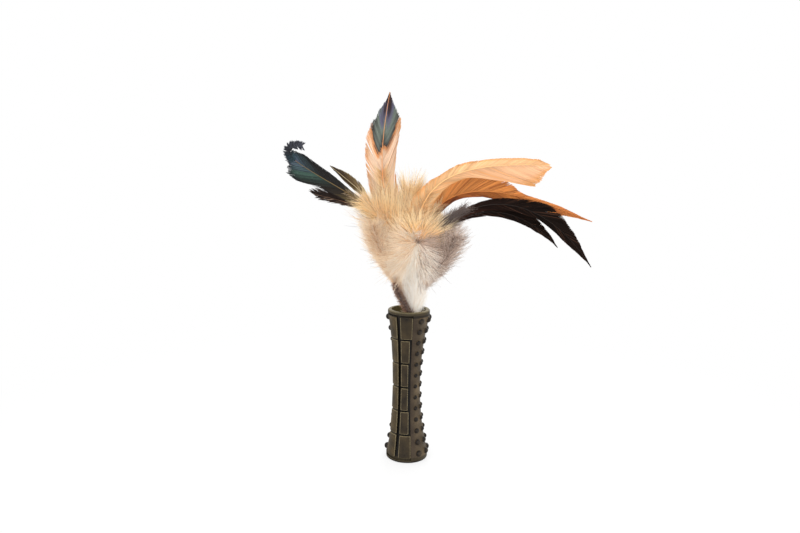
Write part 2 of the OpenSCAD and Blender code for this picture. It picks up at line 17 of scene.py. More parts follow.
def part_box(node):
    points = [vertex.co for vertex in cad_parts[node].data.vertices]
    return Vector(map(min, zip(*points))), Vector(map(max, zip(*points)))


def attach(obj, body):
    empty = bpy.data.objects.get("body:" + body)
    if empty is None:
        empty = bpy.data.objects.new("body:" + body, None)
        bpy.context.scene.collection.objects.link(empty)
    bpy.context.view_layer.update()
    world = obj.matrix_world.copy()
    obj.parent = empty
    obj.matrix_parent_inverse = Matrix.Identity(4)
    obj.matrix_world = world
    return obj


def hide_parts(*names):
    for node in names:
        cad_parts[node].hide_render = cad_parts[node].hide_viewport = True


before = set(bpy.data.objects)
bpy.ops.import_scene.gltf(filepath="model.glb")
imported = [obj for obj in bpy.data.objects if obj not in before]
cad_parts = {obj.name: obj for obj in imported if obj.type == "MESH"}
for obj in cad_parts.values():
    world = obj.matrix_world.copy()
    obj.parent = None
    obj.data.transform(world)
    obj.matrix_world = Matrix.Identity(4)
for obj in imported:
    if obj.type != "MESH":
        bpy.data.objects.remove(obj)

LOG = logging.getLogger("teaser_wand")
logging.basicConfig(level=logging.INFO, format="%(message)s")

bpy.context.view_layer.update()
MM = 0.001
HANDLE = "handle"
BUNDLE = "bundle"
HANDLE_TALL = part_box("rubber_sleeve")[1][2]
RIM = Vector((0, 0, HANDLE_TALL))
QUILL_PITCH = 1.4 * MM
QUILL_R = 0.55 * MM

Colour = tuple[float, float, float, float]
Stops = Sequence[tuple[float, int]]
Widths = Sequence[tuple[float, float]]
Socket = bpy.types.NodeSocket
Material = bpy.types.Material
Object = bpy.types.Object


def srgb(code: int) -> Colour:
    """Linear colour of a display colour.

    Args:
        code: The display colour, as 0xRRGGBB.

    Returns:
        Red, green, blue and a full alpha, linear.
    """
    parts = [code >> shift & 255 for shift in (16, 8, 0)]
    linear = [(v / 255 / 12.92) if v < 10.3 else ((v / 255 + 0.055) / 1.055) ** 2.4 for v in parts]
    return (*linear, 1.0)


def mix(low: float, high: float, share: float) -> float:
    """Value at a share of the way from low to high."""
    return low + (high - low) * share


def along_stops(stops: Widths, t: float) -> float:
    """Value at t on a smooth line through a few stops.

    Args:
        stops: Pairs of place and value, in rising order of place.
        t: Place asked for; past the ends the value is zero.

    Returns:
        The eased value between the two nearest stops.
    """
    for (t0, v0), (t1, v1) in zip(stops, stops[1:]):
        if t0 <= t <= t1:
            s = (t - t0) / (t1 - t0)
            return mix(v0, v1, mix(s, s * s * (3 - 2 * s), 0.5))
    return 0.0


class Kit:
    """Short-hand for the nodes of one tree, of geometry or of shaders."""

    def __init__(self, tree: bpy.types.NodeTree) -> None:
        """Starts on an empty or new tree."""
        self.tree = tree

    def add(self, kind: str, inputs: dict | None = None, **settings: object) -> bpy.types.Node:
        """Adds a node, sets it up and wires it.

        Args:
            kind: Type name of the node.
            inputs: Links or constants, by the name or the number of the socket.
            settings: Properties of the node, set before its sockets are looked up.

        Returns:
            The new node.
        """
        node = self.tree.nodes.new(kind)
        for key, value in settings.items():
            setattr(node, key, value)
        for key, value in (inputs or {}).items():
            socket = node.inputs[key] if isinstance(key, int) else self.named(node.inputs, key)
            if isinstance(value, Socket):
                self.tree.links.new(value, socket)
            else:
                socket.default_value = value
        return node

    @staticmethod
    def named(sockets: Sequence[Socket], name: str) -> Socket:
        """The socket in use that has this name."""
        return next(s for s in sockets if s.enabled and s.name == name)

    def math(self, operation: str, *values: object) -> Socket:
        """Result of one sum on numbers."""
        return self.add("ShaderNodeMath", dict(enumerate(values)), operation=operation).outputs[0]

    def times(self, first: object, second: object) -> Socket:
        """Product of two numbers."""
        return self.math("MULTIPLY", first, second)

    def plus(self, first: object, second: object) -> Socket:
        """Sum of two numbers."""
        return self.math("ADD", first, second)

    def minus(self, first: object, second: object) -> Socket:
        """The first number less the second."""
        return self.math("SUBTRACT", first, second)

    def power(self, base: object, exponent: float) -> Socket:
        """A number raised to a power."""
        return self.math("POWER", base, exponent)

    def size(self, value: object) -> Socket:
        """A number without its sign."""
        return self.math("ABSOLUTE", value)

    def linear(self, value: object, factor: object, start: object) -> Socket:
        """A number times a factor, plus a start."""
        return self.math("MULTIPLY_ADD", value, factor, start)

    def vector(self, operation: str, first: object, second: object) -> Socket:
        """Result of one sum on vectors; SCALE takes a number second."""
        place = 3 if operation == "SCALE" else 1
        node = self.add("ShaderNodeVectorMath", {0: first, place: second}, operation=operation)
        return node.outputs["Vector"]

    def total(self, *vectors: object) -> Socket:
        """Sum of several vectors.

        Args:
            vectors: What is added up.

        Returns:
            The sum.
        """
        result = vectors[0]
        for vector in vectors[1:]:
            result = self.vector("ADD", result, vector)
        return result

    def seen(self) -> Socket:
        """One for what the camera sees, straight or through glass or a mirror, and zero for other light."""
        rays = self.add("ShaderNodeLightPath").outputs
        through = self.math("MAXIMUM", rays["Is Glossy Ray"], rays["Is Transmission Ray"])
        return self.math("MAXIMUM", rays["Is Camera Ray"], through)

    def lerp(self, share: object, low: object, high: object) -> Socket:
        """Number at a share of the way from low to high."""
        return self.add("ShaderNodeMix", {0: share, 2: low, 3: high}, data_type="FLOAT").outputs[0]

    def step(self, value: object, low: float, high: float) -> Socket:
        """Smooth step of a value from 0 at low to 1 at high."""
        node = self.add("ShaderNodeMapRange", {"Value": value, "From Min": low, "From Max": high},
                        interpolation_type="SMOOTHSTEP")
        return node.outputs[0]


class Effect(Kit):
    """A shader node group with named inputs and outputs, shared by several materials."""

    def __init__(self, name: str, inputs: dict[str, float], outputs: Sequence[str]) -> None:
        """Makes the group and its sockets.

        Args:
            name: Name of the group.
            inputs: Number inputs and their defaults.
            outputs: Names of the number outputs.
        """
        super().__init__(bpy.data.node_groups.new(name, "ShaderNodeTree"))
        for key, value in inputs.items():
            socket = self.tree.interface.new_socket(key, in_out="INPUT", socket_type="NodeSocketFloat")
            socket.default_value = value
        for key in outputs:
            self.tree.interface.new_socket(key, in_out="OUTPUT", socket_type="NodeSocketFloat")
        self.source = self.tree.nodes.new("NodeGroupInput").outputs
        self.result = self.tree.nodes.new("NodeGroupOutput").inputs

    def give(self, name: str, socket: Socket) -> None:
        """Links a result to one of the group's outputs."""
        self.tree.links.new(socket, self.result[name])


class Surface(Kit):
    """One material's nodes, round its Principled shader."""

    def __init__(self, name: str, **constants: object) -> None:
        """Makes the material.

        Args:
            name: Name of the material.
            constants: Values for the shader's own sockets, with underscores for spaces.
        """
        self.material = bpy.data.materials.new(name)
        self.material.use_nodes = True
        super().__init__(self.material.node_tree)
        self.shader = self.tree.nodes["Principled BSDF"]
        for key, value in constants.items():
            self.shader.inputs[key.replace("_", " ")].default_value = value

    def feed(self, name: str, socket: Socket) -> None:
        """Links a result to one of the shader's sockets."""
        self.tree.links.new(socket, self.shader.inputs[name])

    def attribute(self, name: str) -> Socket:
        """Number stored on the piece under this name."""
        return self.add("ShaderNodeAttribute", attribute_name=name).outputs["Fac"]

    def place(self) -> Socket:
        """Object coordinates."""
        return self.add("ShaderNodeTexCoord").outputs["Object"]

    def noise(self, scale: float) -> Socket:
        """Value of a noise texture on Object coordinates."""
        return self.cloud(self.place(), scale)

    def stretched(self, scale: tuple[float, float, float]) -> Socket:
        """Object coordinates, scaled apart on each axis."""
        return self.add("ShaderNodeMapping", {"Vector": self.place(), "Scale": scale}).outputs[0]

    def streaks(self, scale: float, upright: float) -> Socket:
        """Value of a noise texture that is drawn out upright."""
        return self.cloud(self.stretched((1, 1, upright)), scale)

    def cloud(self, place: Socket, scale: float) -> Socket:
        """Value of a noise texture of two octaves."""
        return self.add("ShaderNodeTexNoise", {"Vector": place, "Scale": scale, "Detail": 2.0}).outputs[0]

    def ramp(self, value: object, stops: Stops) -> Socket:
        """Colour at a value on a line through a few display colours.

        Args:
            value: Where on the line.
            stops: Places on the line and their display colours.

        Returns:
            The colour.
        """
        node = self.add("ShaderNodeValToRGB", {0: value})
        elements = node.color_ramp.elements
        for element, (position, code) in zip(elements, (stops[0], stops[-1])):
            element.position, element.color = position, srgb(code)
        for position, code in stops[1:-1]:
            elements.new(position).color = srgb(code)
        return node.outputs[0]

    def blend(self, share: object, low: object, high: object, mode: str = "MIX") -> Socket:
        """Colour between two, each a link, a colour or 0xRRGGBB, or one laid on the other in a blend mode."""
        low, high = (srgb(colour) if isinstance(colour, int) else colour for colour in (low, high))
        node = self.add("ShaderNodeMix", {0: share, 6: low, 7: high}, data_type="RGBA", blend_type=mode)
        return node.outputs[2]

    def effect(self, group: Effect, **inputs: object) -> Sequence[Socket]:
        """Outputs of a shared effect placed in this material.

        Args:
            group: The effect.
            inputs: Links or constants for the effect's inputs.

        Returns:
            The effect's outputs, by name.
        """
        node = self.tree.nodes.new("ShaderNodeGroup")
        node.node_tree = group.tree
        for key, value in inputs.items():
            if isinstance(value, Socket):
                self.tree.links.new(value, node.inputs[key])
            else:
                node.inputs[key].default_value = value
        return node.outputs

    def bump(self, height: Socket, distance: float) -> None:
        """Feeds the normal from a height, with its depth in metres."""
        node = self.add("ShaderNodeBump", {"Height": height, "Distance": distance, "Strength": 1.0})
        self.feed("Normal", node.outputs[0])


def strand_shade() -> Effect:
    """Light and dark of single strands: each has its own tone, and all darken where they root, a painted
    shade where they crowd.

    Returns:
        The group, with a Shade to multiply a colour by and a Gloss to add to a roughness.
    """
    inputs = {"Tone": 0.5, "Reach": 0.5, "Spread": 0.3, "Root": 0.8}
    group = Effect("Strand shade", inputs, ["Shade", "Gloss"])
    source = group.source
    lift = group.times(group.minus(source["Tone"], 0.5), source["Spread"])
    # painted shade: strands darken towards their roots, where they crowd together
    root = group.lerp(group.step(source["Reach"], 0.0, 0.35), source["Root"], 1.0)
    group.give("Shade", group.times(group.plus(lift, 1.0), root))
    group.give("Gloss", group.times(lift, 0.4))
    return group


def moulded_mottle() -> Effect:
    """Soft mottle and grain of a moulded rubber or plastic surface, on Object coordinates.

    Returns:
        The group, with a Cloud of slow change and a Grain of fine change, both about 0.5.
    """
    group = Effect("Moulded mottle", {"Cloud size": 120.0, "Grain size": 2500.0}, ["Cloud", "Grain"])
    place = group.add("ShaderNodeTexCoord").outputs["Object"]
    for name, size, detail in (("Cloud", "Cloud size", 3.0), ("Grain", "Grain size", 2.0)):
        inputs = {"Vector": place, "Scale": group.source[size], "Detail": detail}
        group.give(name, group.add("ShaderNodeTexNoise", inputs).outputs[0])
    return group


class Profile(Enum):
    """Section of a strand."""

    FLAT = "flat barb"
    ROUND = "round fibre"


class GrowTree(Kit):
    """Geometry Nodes tree that grows a piece from the points of a guide line.

    Each class names its inputs and makes its own skin. They share the sockets, the plain mesh and the
    material.
    """

    INPUTS: ClassVar[dict[str, float]] = {}

    def __init__(self, name: str) -> None:
        """Builds the whole tree.

        Args:
            name: Name of the node group.
        """
        super().__init__(bpy.data.node_groups.new(name, "GeometryNodeTree"))
        face = self.tree.interface
        for way in ("INPUT", "OUTPUT"):
            face.new_socket("Geometry", in_out=way, socket_type="NodeSocketGeometry")
        for key, value in self.INPUTS.items():
            kind = "NodeSocketInt" if isinstance(value, int) else "NodeSocketFloat"
            face.new_socket(key, in_out="INPUT", socket_type=kind).default_value = value
        face.new_socket("Material", in_out="INPUT", socket_type="NodeSocketMaterial")
        self.source = self.tree.nodes.new("NodeGroupInput").outputs
        whole = self.add("GeometryNodeRealizeInstances", {"Geometry": self.skin()}).outputs[0]
        inputs = {"Geometry": whole, "Material": self.source["Material"]}
        dressed = self.add("GeometryNodeSetMaterial", inputs).outputs[0]
        self.add("NodeGroupOutput", {0: dressed})

    def skin(self) -> Socket:
        """What the tree grows, before it is made one plain mesh."""
        raise NotImplementedError

    def line(self) -> Socket:
        """The guide line as a curve."""
        return self.add("GeometryNodeMeshToCurve", {"Mesh": self.source["Geometry"]}).outputs[0]

    def girth(self) -> Socket:
        """The girth stored on the guide's points."""
        return self.add("GeometryNodeInputNamedAttribute", {"Name": "girth"}, data_type="FLOAT").outputs[0]

    def ring(self, sides: object, radius: object) -> Socket:
        """Round section with as many sides and as large as given."""
        inputs = {"Resolution": sides, "Radius": radius}
        return self.add("GeometryNodeCurvePrimitiveCircle", inputs).outputs[0]

    def swept(self, curve: Socket, section: Socket, scale: Socket) -> Socket:
        """Closed skin of a section swept along curves."""
        inputs = {"Curve": curve, "Profile Curve": section, "Scale": scale, "Fill Caps": True}
        return self.add("GeometryNodeCurveToMesh", inputs).outputs[0]


class StrandTree(GrowTree):
    """Geometry Nodes tree that grows strands along a guide line, to its two sides or all round it.

    The guide's points carry way, across and up vectors and the reach of the strands to each side.
    """

    INPUTS = {
        "Count": 200, "Steps": 6, "Seed": 1, "Thickness": 0.1 * MM, "Flatness": 6.0, "Slant": 0.8,
        "Bend": 0.1, "Ragged": 0.1, "Spread": 0.1, "Split": 0.1, "Groups": 12.0, "Camber": 0.15,
        "Wave": 0.3 * MM, "Wave scale": 60.0, "Loose": 0.2, "Tilt": 0.25, "Taper": 0.3,
        "Reach shape": 1.0, "Turn": 0.0, "Two sided": 1.0,
    }
    SPREAD_DRAW, RAGGED_DRAW, LOOSE_DRAW, TONE_DRAW = 3, 5, 7, 11
    SIDE_OFFSET = 31.7

    def __init__(self, name: str, profile: Profile) -> None:
        """Builds the whole tree.

        Args:
            name: Name of the node group.
            profile: Section of each strand.
        """
        self.profile = profile
        super().__init__(name)

    def read(self, name: str, kind: str = "FLOAT") -> Socket:
        """Value stored on the points under a name."""
        node = self.add("GeometryNodeInputNamedAttribute", data_type=kind)
        node.inputs["Name"].default_value = name
        return node.outputs[0]

    def stored(self, geometry: object, name: str, value: object, kind: str = "FLOAT") -> Socket:
        """Geometry with a value stored on its points.

        Args:
            geometry: What carries the points.
            name: Name to store the value under.
            value: The value.
            kind: Its data type.

        Returns:
            The geometry.
        """
        node = self.add("GeometryNodeStoreNamedAttribute", data_type=kind)
        node.inputs["Name"].default_value = name
        self.tree.links.new(geometry, node.inputs["Geometry"])
        self.tree.links.new(value, self.named(node.inputs, "Value"))
        return node.outputs[0]

    def random(self, low: object, high: object, seed: int) -> Socket:
        """Random number of each strand, the same at all of its points.

        Args:
            low: Least number.
            high: Greatest number.
            seed: Added to the tree's own seed.

        Returns:
            The number.
        """
        node = self.add("FunctionNodeRandomValue", data_type="FLOAT")
        for key, value in (("Min", low), ("Max", high)):
            socket = self.named(node.inputs, key)
            if isinstance(value, Socket):
                self.tree.links.new(value, socket)
            else:
                socket.default_value = value
        self.tree.links.new(self.read("strand", "INT"), node.inputs["ID"])
        self.tree.links.new(self.plus(self.source["Seed"], float(seed)), node.inputs["Seed"])
        return self.named(node.outputs, "Value")

    def planted(self) -> Socket:
        """One straight strand at each place along the guide, as real points.

        Returns:
            The strands' curves, each point with its reach share and its strand's number.
        """
        roots = self.resampled(self.line(), "Count")
        roots = self.stored(roots, "strand", self.add("GeometryNodeInputIndex").outputs[0], "INT")
        roots = self.stored(roots, "root", self.add("GeometryNodeInputPosition").outputs[0], "FLOAT_VECTOR")
        line = self.add("GeometryNodeCurvePrimitiveLine", {"End": (MM, 0, 0)}).outputs[0]
        line = self.stored(self.resampled(line, "Steps"), "reach",
                           self.add("GeometryNodeSplineParameter").outputs[0])
        placed = self.add("GeometryNodeInstanceOnPoints", {"Points": roots, "Instance": line}).outputs[0]
        return self.add("GeometryNodeRealizeInstances", {"Geometry": placed}).outputs[0]

    def resampled(self, curve: Socket, count: str) -> Socket:
        """Curve with as many even points as one of the inputs says."""
        return self.add("GeometryNodeResampleCurve", {"Curve": curve, "Count": self.source[count]}).outputs[0]

    def shaped(self) -> Socket:
        """Strands laid out to their side, swept forward, split into groups, waved and drooped.

        Returns:
            The planted strands with their final points and stored values for the materials.
        """
        strands, source = self.planted(), self.source
        reach = self.read("reach")
        far = self.power(reach, 2.0)
        side = self.math("MODULO", self.read("strand", "INT"), 2.0)
        turn = self.linear(self.times(side, math.pi), source["Two sided"], source["Turn"])
        least = self.times(source["Spread"], -1.0)
        turn = self.plus(turn, self.random(least, source["Spread"], self.SPREAD_DRAW))
        cos, sin = self.math("COSINE", turn), self.math("SINE", turn)
        across, up, way = (self.read(name, "FLOAT_VECTOR") for name in ("across", "up", "way"))
        out = self.total(self.vector("SCALE", across, cos), self.vector("SCALE", up, sin))
        flat = self.times(self.lerp(side, self.read("wide_a"), self.read("wide_b")), cos)
        deep = self.times(self.read("deep"), sin)
        squares = [self.power(self.size(reached), 2.0) for reached in (flat, deep)]
        width = self.math("SQRT", self.plus(*squares))
        spare = self.random(self.minus(1.0, source["Ragged"]), 1.0, self.RAGGED_DRAW)
        length = self.times(width, spare)
        group = self.math("FLOOR", self.times(self.wavering(), source["Groups"]))
        group = self.plus(group, self.times(side, self.SIDE_OFFSET))
        part = self.add("ShaderNodeTexWhiteNoise", {"W": group}, noise_dimensions="1D").outputs["Value"]
        split = self.times(self.minus(part, 0.5), source["Split"])
        bend = self.times(far, source["Bend"])
        out_share = self.minus(self.power(reach, source["Reach shape"]), bend)
        slant = self.plus(self.times(source["Slant"], self.read("sweep")), split)
        forward = self.plus(self.times(slant, reach), bend)
        drop = self.times(self.times(far, source["Camber"]), -1.0)
        offset = self.total(self.vector("SCALE", out, out_share), self.vector("SCALE", way, forward),
                            self.vector("SCALE", up, drop))
        place = self.total(self.read("root", "FLOAT_VECTOR"), self.vector("SCALE", offset, length),
                           self.waves(reach))
        strands = self.stored(strands, "tone", self.random(0.0, 1.0, self.TONE_DRAW))
        strands = self.stored(strands, "side", side)
        strands = self.stored(strands, "part", part)
        return self.add("GeometryNodeSetPosition", {"Geometry": strands, "Position": place}).outputs[0]

    def wavering(self) -> Socket:
        """Place along the guide, stirred a little so that the groups of strands differ in width.

        Returns:
            The place.
        """
        along = self.read("along")
        stir = self.add("ShaderNodeTexNoise", {"W": self.times(along, 9.0), "Scale": 1.0},
                        noise_dimensions="1D").outputs[0]
        return self.linear(stir, 0.22, along)

    def waves(self, reach: Socket) -> Socket:
        """Offset of a strand's points by slow noise, shared by neighbours apart from its loose share.

        Args:
            reach: Share of the strand from its root.

        Returns:
            The offset.
        """
        own = self.times(self.random(0.0, 40.0, self.LOOSE_DRAW), self.source["Loose"])
        scale = self.source["Wave scale"]
        root = self.vector("SCALE", self.read("root", "FLOAT_VECTOR"), scale)
        drift = self.add("ShaderNodeCombineXYZ", {0: self.times(reach, 1.1), 1: own, 2: own}).outputs[0]
        inputs = {"Vector": self.total(root, drift), "Scale": 1.0, "Detail": 1.0}
        noise = self.add("ShaderNodeTexNoise", inputs).outputs["Color"]
        centred = self.vector("SUBTRACT", noise, (0.5, 0.5, 0.5))
        size = self.times(self.power(reach, 1.4), self.source["Wave"])
        return self.vector("SCALE", centred, self.times(size, 2.0))

    def skin(self) -> Socket:
        """Closed tapered skin round each strand: a thin rectangle for a barb, three sides for a fibre.

        Returns:
            The skin of all strands.
        """
        source, strands = self.source, self.shaped()
        reach = self.read("reach")
        if self.profile is Profile.FLAT:
            tilt = self.vector("SCALE", self.read("way", "FLOAT_VECTOR"), source["Tilt"])
            normal = self.total(self.read("up", "FLOAT_VECTOR"), tilt)
            node = self.add("GeometryNodeSetCurveNormal", {"Curve": strands}, mode="FREE")
            self.tree.links.new(normal, self.named(node.inputs, "Normal"))
            strands = node.outputs[0]
            broad = self.times(source["Thickness"], source["Flatness"])
            section = self.add("GeometryNodeCurvePrimitiveQuadrilateral",
                               {"Width": source["Thickness"], "Height": broad}, mode="RECTANGLE").outputs[0]
        else:
            section = self.ring(3, self.times(source["Thickness"], 0.5))
        return self.swept(strands, section, self.lerp(self.power(reach, 2.5), 1.0, source["Taper"]))


class TubeTree(GrowTree):
    """Geometry Nodes tree that skins a guide line with a round tube of the girth stored on its points."""

    INPUTS = {"Sides": 10}

    def skin(self) -> Socket:
        """The tube."""
        ring = self.ring(self.source["Sides"], 1.0)
        return self.swept(self.line(), ring, self.girth())


class DomeTree(GrowTree):
    """Geometry Nodes tree that puts a ball of the girth stored there on each point of a guide line."""

    INPUTS = {"Detail": 3}

    def skin(self) -> Socket:
        """The balls."""
        ball = self.add("GeometryNodeMeshIcoSphere", {"Radius": 1.0, "Subdivisions": self.source["Detail"]})
        inputs = {"Points": self.source["Geometry"], "Instance": ball.outputs[0], "Scale": self.girth()}
        return self.add("GeometryNodeInstanceOnPoints", inputs).outputs[0]


@dataclass(frozen=True)
class Trees:
    """The Geometry Nodes trees and shader effects that several pieces share."""

    flat: StrandTree
    round: StrandTree
    tube: TubeTree
    dome: DomeTree
    shade: Effect
    mottle: Effect


class Guide:
    """A line of points with named values, which a Geometry Nodes tree turns into a plain mesh."""

    def __init__(self, points: Sequence[Vector]) -> None:
        """Makes the line.

        Args:
            points: Points in order, in the CAD frame.
        """
        self.mesh = bpy.data.meshes.new("guide")
        self.mesh.from_pydata([tuple(p) for p in points], [(i, i + 1) for i in range(len(points) - 1)], [])

    def vectors(self, name: str, values: Sequence[Vector]) -> None:
        """Stores a vector on each point."""
        data = self.mesh.attributes.new(name, "FLOAT_VECTOR", "POINT").data
        data.foreach_set("vector", [x for v in values for x in v])

    def numbers(self, name: str, values: Sequence[float]) -> None:
        """Stores a number on each point."""
        self.mesh.attributes.new(name, "FLOAT", "POINT").data.foreach_set("value", list(values))

    def framed(self, ways: Sequence[Vector], face: Vector, shares: Sequence[float]) -> None:
        """Stores the way, across and up vectors of a broad face, and the share of the length.

        Args:
            ways: Direction of the line at each point.
            face: Direction that the broad face looks in.
            shares: Share of the length at each point.
        """
        across = [w.cross(face).normalized() for w in ways]
        self.vectors("way", ways)
        self.vectors("across", across)
        self.vectors("up", [a.cross(w) for a, w in zip(across, ways)])
        self.numbers("along", shares)

    def reaches(self, first: Sequence[float], second: Sequence[float], deep: Sequence[float],
                sweep: Sequence[float]) -> None:
        """Stores the reach of the strands to both sides and outward, and how far they sweep forward."""
        for name, values in (("wide_a", first), ("wide_b", second), ("deep", deep), ("sweep", sweep)):
            self.numbers(name, values)

    def grown(self, name: str, kit: Kit, material: Material, **inputs: float) -> Object:
        """The plain mesh that a tree grows from this line, as an object at the origin.

        Args:
            name: Name of the piece.
            kit: The tree.
            material: What it gives the tree's Material input.
            inputs: Values for the tree's other inputs, with underscores for spaces.

        Returns:
            The finished object, with no modifier left.
        """
        guide = bpy.data.objects.new(f"{name}_guide", self.mesh)
        bpy.context.scene.collection.objects.link(guide)
        modifier = guide.modifiers.new("Grow", "NODES")
        modifier.node_group = kit.tree
        values = {key.replace("_", " "): value for key, value in inputs.items()} | {"Material": material}
        for item in kit.tree.interface.items_tree:
            if item.in_out == "INPUT" and item.name in values:
                modifier[item.identifier] = values.pop(item.name)
        if values:
            raise KeyError(f"{name}: no such inputs {sorted(values)}")
        depsgraph = bpy.context.evaluated_depsgraph_get()
        mesh = bpy.data.meshes.new_from_object(guide.evaluated_get(depsgraph), preserve_all_data_layers=True,
                                               depsgraph=depsgraph)
        bpy.data.objects.remove(guide)
        mesh.name = name
        mesh.shade_smooth()
        piece = bpy.data.objects.new(name, mesh)
        bpy.context.scene.collection.objects.link(piece)
        LOG.info("%s: %d faces", name, len(mesh.polygons))
        return piece

    def airy(self, name: str, kit: Kit, material: Material, **inputs: float) -> Object:
        """The same, with the same arguments, for down: each strand is too thin to throw a hard shadow."""
        piece = self.grown(name, kit, material, **inputs)
        piece.visible_shadow = False
        return piece


class Curve:
    """A Bezier curve that strands or a shaft follow."""

    def controls(self) -> list[Vector]:
        """The four control points, in metres in the CAD frame."""
        raise NotImplementedError

    def point(self, t: float) -> Vector:
        """Point at share t of the curve."""
        a, b, c, d = self.controls()
        return a * (1 - t) ** 3 + b * 3 * t * (1 - t) ** 2 + c * 3 * t * t * (1 - t) + d * t ** 3

    def way(self, t: float) -> Vector:
        """Direction at share t of the curve."""
        a, b, c, d = self.controls()
        return ((b - a) * (1 - t) ** 2 + (c - b) * 2 * t * (1 - t) + (d - c) * t * t).normalized()

    def length(self, start: float = 0.0) -> float:
        """Length of the curve from a share to its end."""
        steps = 40
        points = [self.point(mix(start, 1.0, i / steps)) for i in range(steps + 1)]
        return sum((q - p).length for p, q in zip(points, points[1:]))

    def guide(self, start: float, end: float, count: int, face: Vector) -> tuple[Guide, list[float]]:
        """Guide line with its way, across and up vectors.

        Args:
            start: Share of the curve at which it begins.
            end: Share at which it ends.
            count: How many points it has.
            face: Direction that the broad face looks in.

        Returns:
            The guide, and the share of each point.
        """
        shares = [mix(start, end, i / (count - 1)) for i in range(count)]
        line = Guide([self.point(t) for t in shares])
        line.framed([self.way(t) for t in shares], face, shares)
        return line, shares


@dataclass(frozen=True)
class Bezier(Curve):
    """A curve with control points of its own.

    Attributes:
        bones: Its four control points, in millimetres from the rim's centre.
    """

    bones: Sequence[tuple[float, float, float]]

    def controls(self) -> list[Vector]:
        """The four control points, in metres in the CAD frame."""
        return [RIM + Vector(bone) * MM for bone in self.bones]


@dataclass(frozen=True)
class Route(Curve):
    """A route out of the bundle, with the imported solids' own numbers.

    Attributes:
        slot: Place in the bundle, in shares of the quill spacing.
        tip: Free tip from the rim's centre, in millimetres.
        bends: Straight climb, then the second bend point, in shares of the tip.
    """

    slot: tuple[float, float]
    tip: tuple[float, float, float]
    bends: tuple[float, float, float, float]

    def controls(self) -> list[Vector]:
        """The four control points, in metres in the CAD frame.

        Returns:
            The foot, the end of the straight climb, the bend and the tip.
        """
        tip = Vector(self.tip) * MM
        foot = RIM + Vector((*self.slot, 0)) * QUILL_PITCH
        lift, right, back, rise = self.bends
        knee = RIM + Vector((right * tip.x, back * tip.y, rise * tip.z))
        return [foot, foot + Vector((0, 0, lift * tip.z)), knee, RIM + tip]


@dataclass(frozen=True)
class Eye:
    """A dark patch at a feather's tip with a bright border.

    Attributes:
        start: Share of the length at which the patch begins.
        edge: How much later it begins at the vane's edge.
        shaft: How much later it begins beside the shaft.
        border: Width of the border, as a share of the length.
        inside: Colours of the patch from its start to the tip.
        rim: Colour of the border.
    """

    start: float
    edge: float
    shaft: float
    border: float
    inside: Stops
    rim: int


@dataclass(frozen=True)
class VaneFinish:
    """Colours and gloss of one feather's vane.

    Attributes:
        name: Name of the material.
        stops: Colours from the start of the vane to its tip.
        edge: Colour that the vane takes at its edge.
        edge_share: Reach at which the edge colour begins.
        fleck: Colour of its odd single barbs.
        fleck_share: Share of the barbs that have it.
        roughness: Roughness of a barb.
        spread: How much the barbs differ in tone.
        other: Colours of the second side, if they differ.
        eye: Patch at the tip, if it has one.
        sheen: Soft gloss at grazing angles.
        gloss: Strength of its reflections.
    """

    name: str
    stops: Stops
    edge: int
    edge_share: float
    fleck: int
    fleck_share: float
    roughness: float = 0.6
    spread: float = 0.35
    other: Stops | None = None
    eye: Eye | None = None
    sheen: float = 0.1
    gloss: float = 0.15
    CLUMPS: ClassVar[float] = 0.2

    def material(self, shade: Effect) -> Material:
        """Builds the material.

        Args:
            shade: The shared light and dark of strands.

        Returns:
            The finished material.
        """
        surface = Surface(self.name, Specular_IOR_Level=self.gloss, Sheen_Weight=self.sheen,
                          Sheen_Roughness=0.5)
        along, reach = surface.attribute("along"), surface.attribute("reach")
        tone, part = surface.attribute("tone"), surface.attribute("part")
        wander = surface.linear(surface.minus(part, 0.5), 0.05, along)
        wander = surface.linear(surface.minus(tone, 0.5), 0.03, wander)
        colour = surface.ramp(wander, self.stops)
        if self.other:
            colour = surface.blend(surface.attribute("side"), colour, surface.ramp(wander, self.other))
        edge = surface.step(reach, self.edge_share, min(self.edge_share + 0.35, 1.05))
        colour = surface.blend(edge, colour, self.edge)
        fleck = surface.step(tone, 1 - self.fleck_share, 1.02 - self.fleck_share)
        colour = surface.blend(surface.times(fleck, 0.75), colour, self.fleck)
        if self.eye:
            colour = self.patched(surface, colour, along, reach, tone)
        # Root: painted shade where the barbs crowd at their roots
        out = surface.effect(shade, Tone=tone, Reach=reach, Spread=self.spread, Root=0.85)
        shaded = surface.times(out["Shade"], surface.linear(part, self.CLUMPS, 1 - self.CLUMPS))
        surface.feed("Base Color", surface.blend(1.0, colour, shaded, "MULTIPLY"))
        surface.feed("Roughness", surface.plus(out["Gloss"], self.roughness))
        surface.bump(surface.noise(4000.0), 0.03 * MM)
        return surface.material

    def patched(self, surface: Surface, colour: Socket, along: Socket, reach: Socket, tone: Socket) -> Socket:
        """Lays the eye patch and its border over a colour.

        Args:
            surface: The material's nodes.
            colour: Colour under the patch.
            along: Share of the length.
            reach: Share of the vane's width.
            tone: Random tone of each barb.

        Returns:
            The patched colour.
        """
        eye = self.eye
        shaft = surface.times(surface.step(reach, 0.3, 0.0), eye.shaft)
        bow = surface.linear(surface.step(reach, 0.45, 1.05), eye.edge, shaft)
        depth = surface.minus(surface.minus(along, eye.start), bow)
        depth = surface.linear(surface.minus(tone, 0.5), 0.02, depth)
        depth = surface.linear(surface.minus(surface.attribute("part"), 0.5), 0.03, depth)
        rim = surface.step(depth, -eye.border * 1.6, -eye.border * 0.6)
        colour = surface.blend(rim, colour, eye.rim)
        inside = surface.ramp(surface.math("DIVIDE", depth, 1 - eye.start), eye.inside)
        return surface.blend(surface.step(depth, -eye.border * 0.2, eye.border * 0.3), colour, inside)


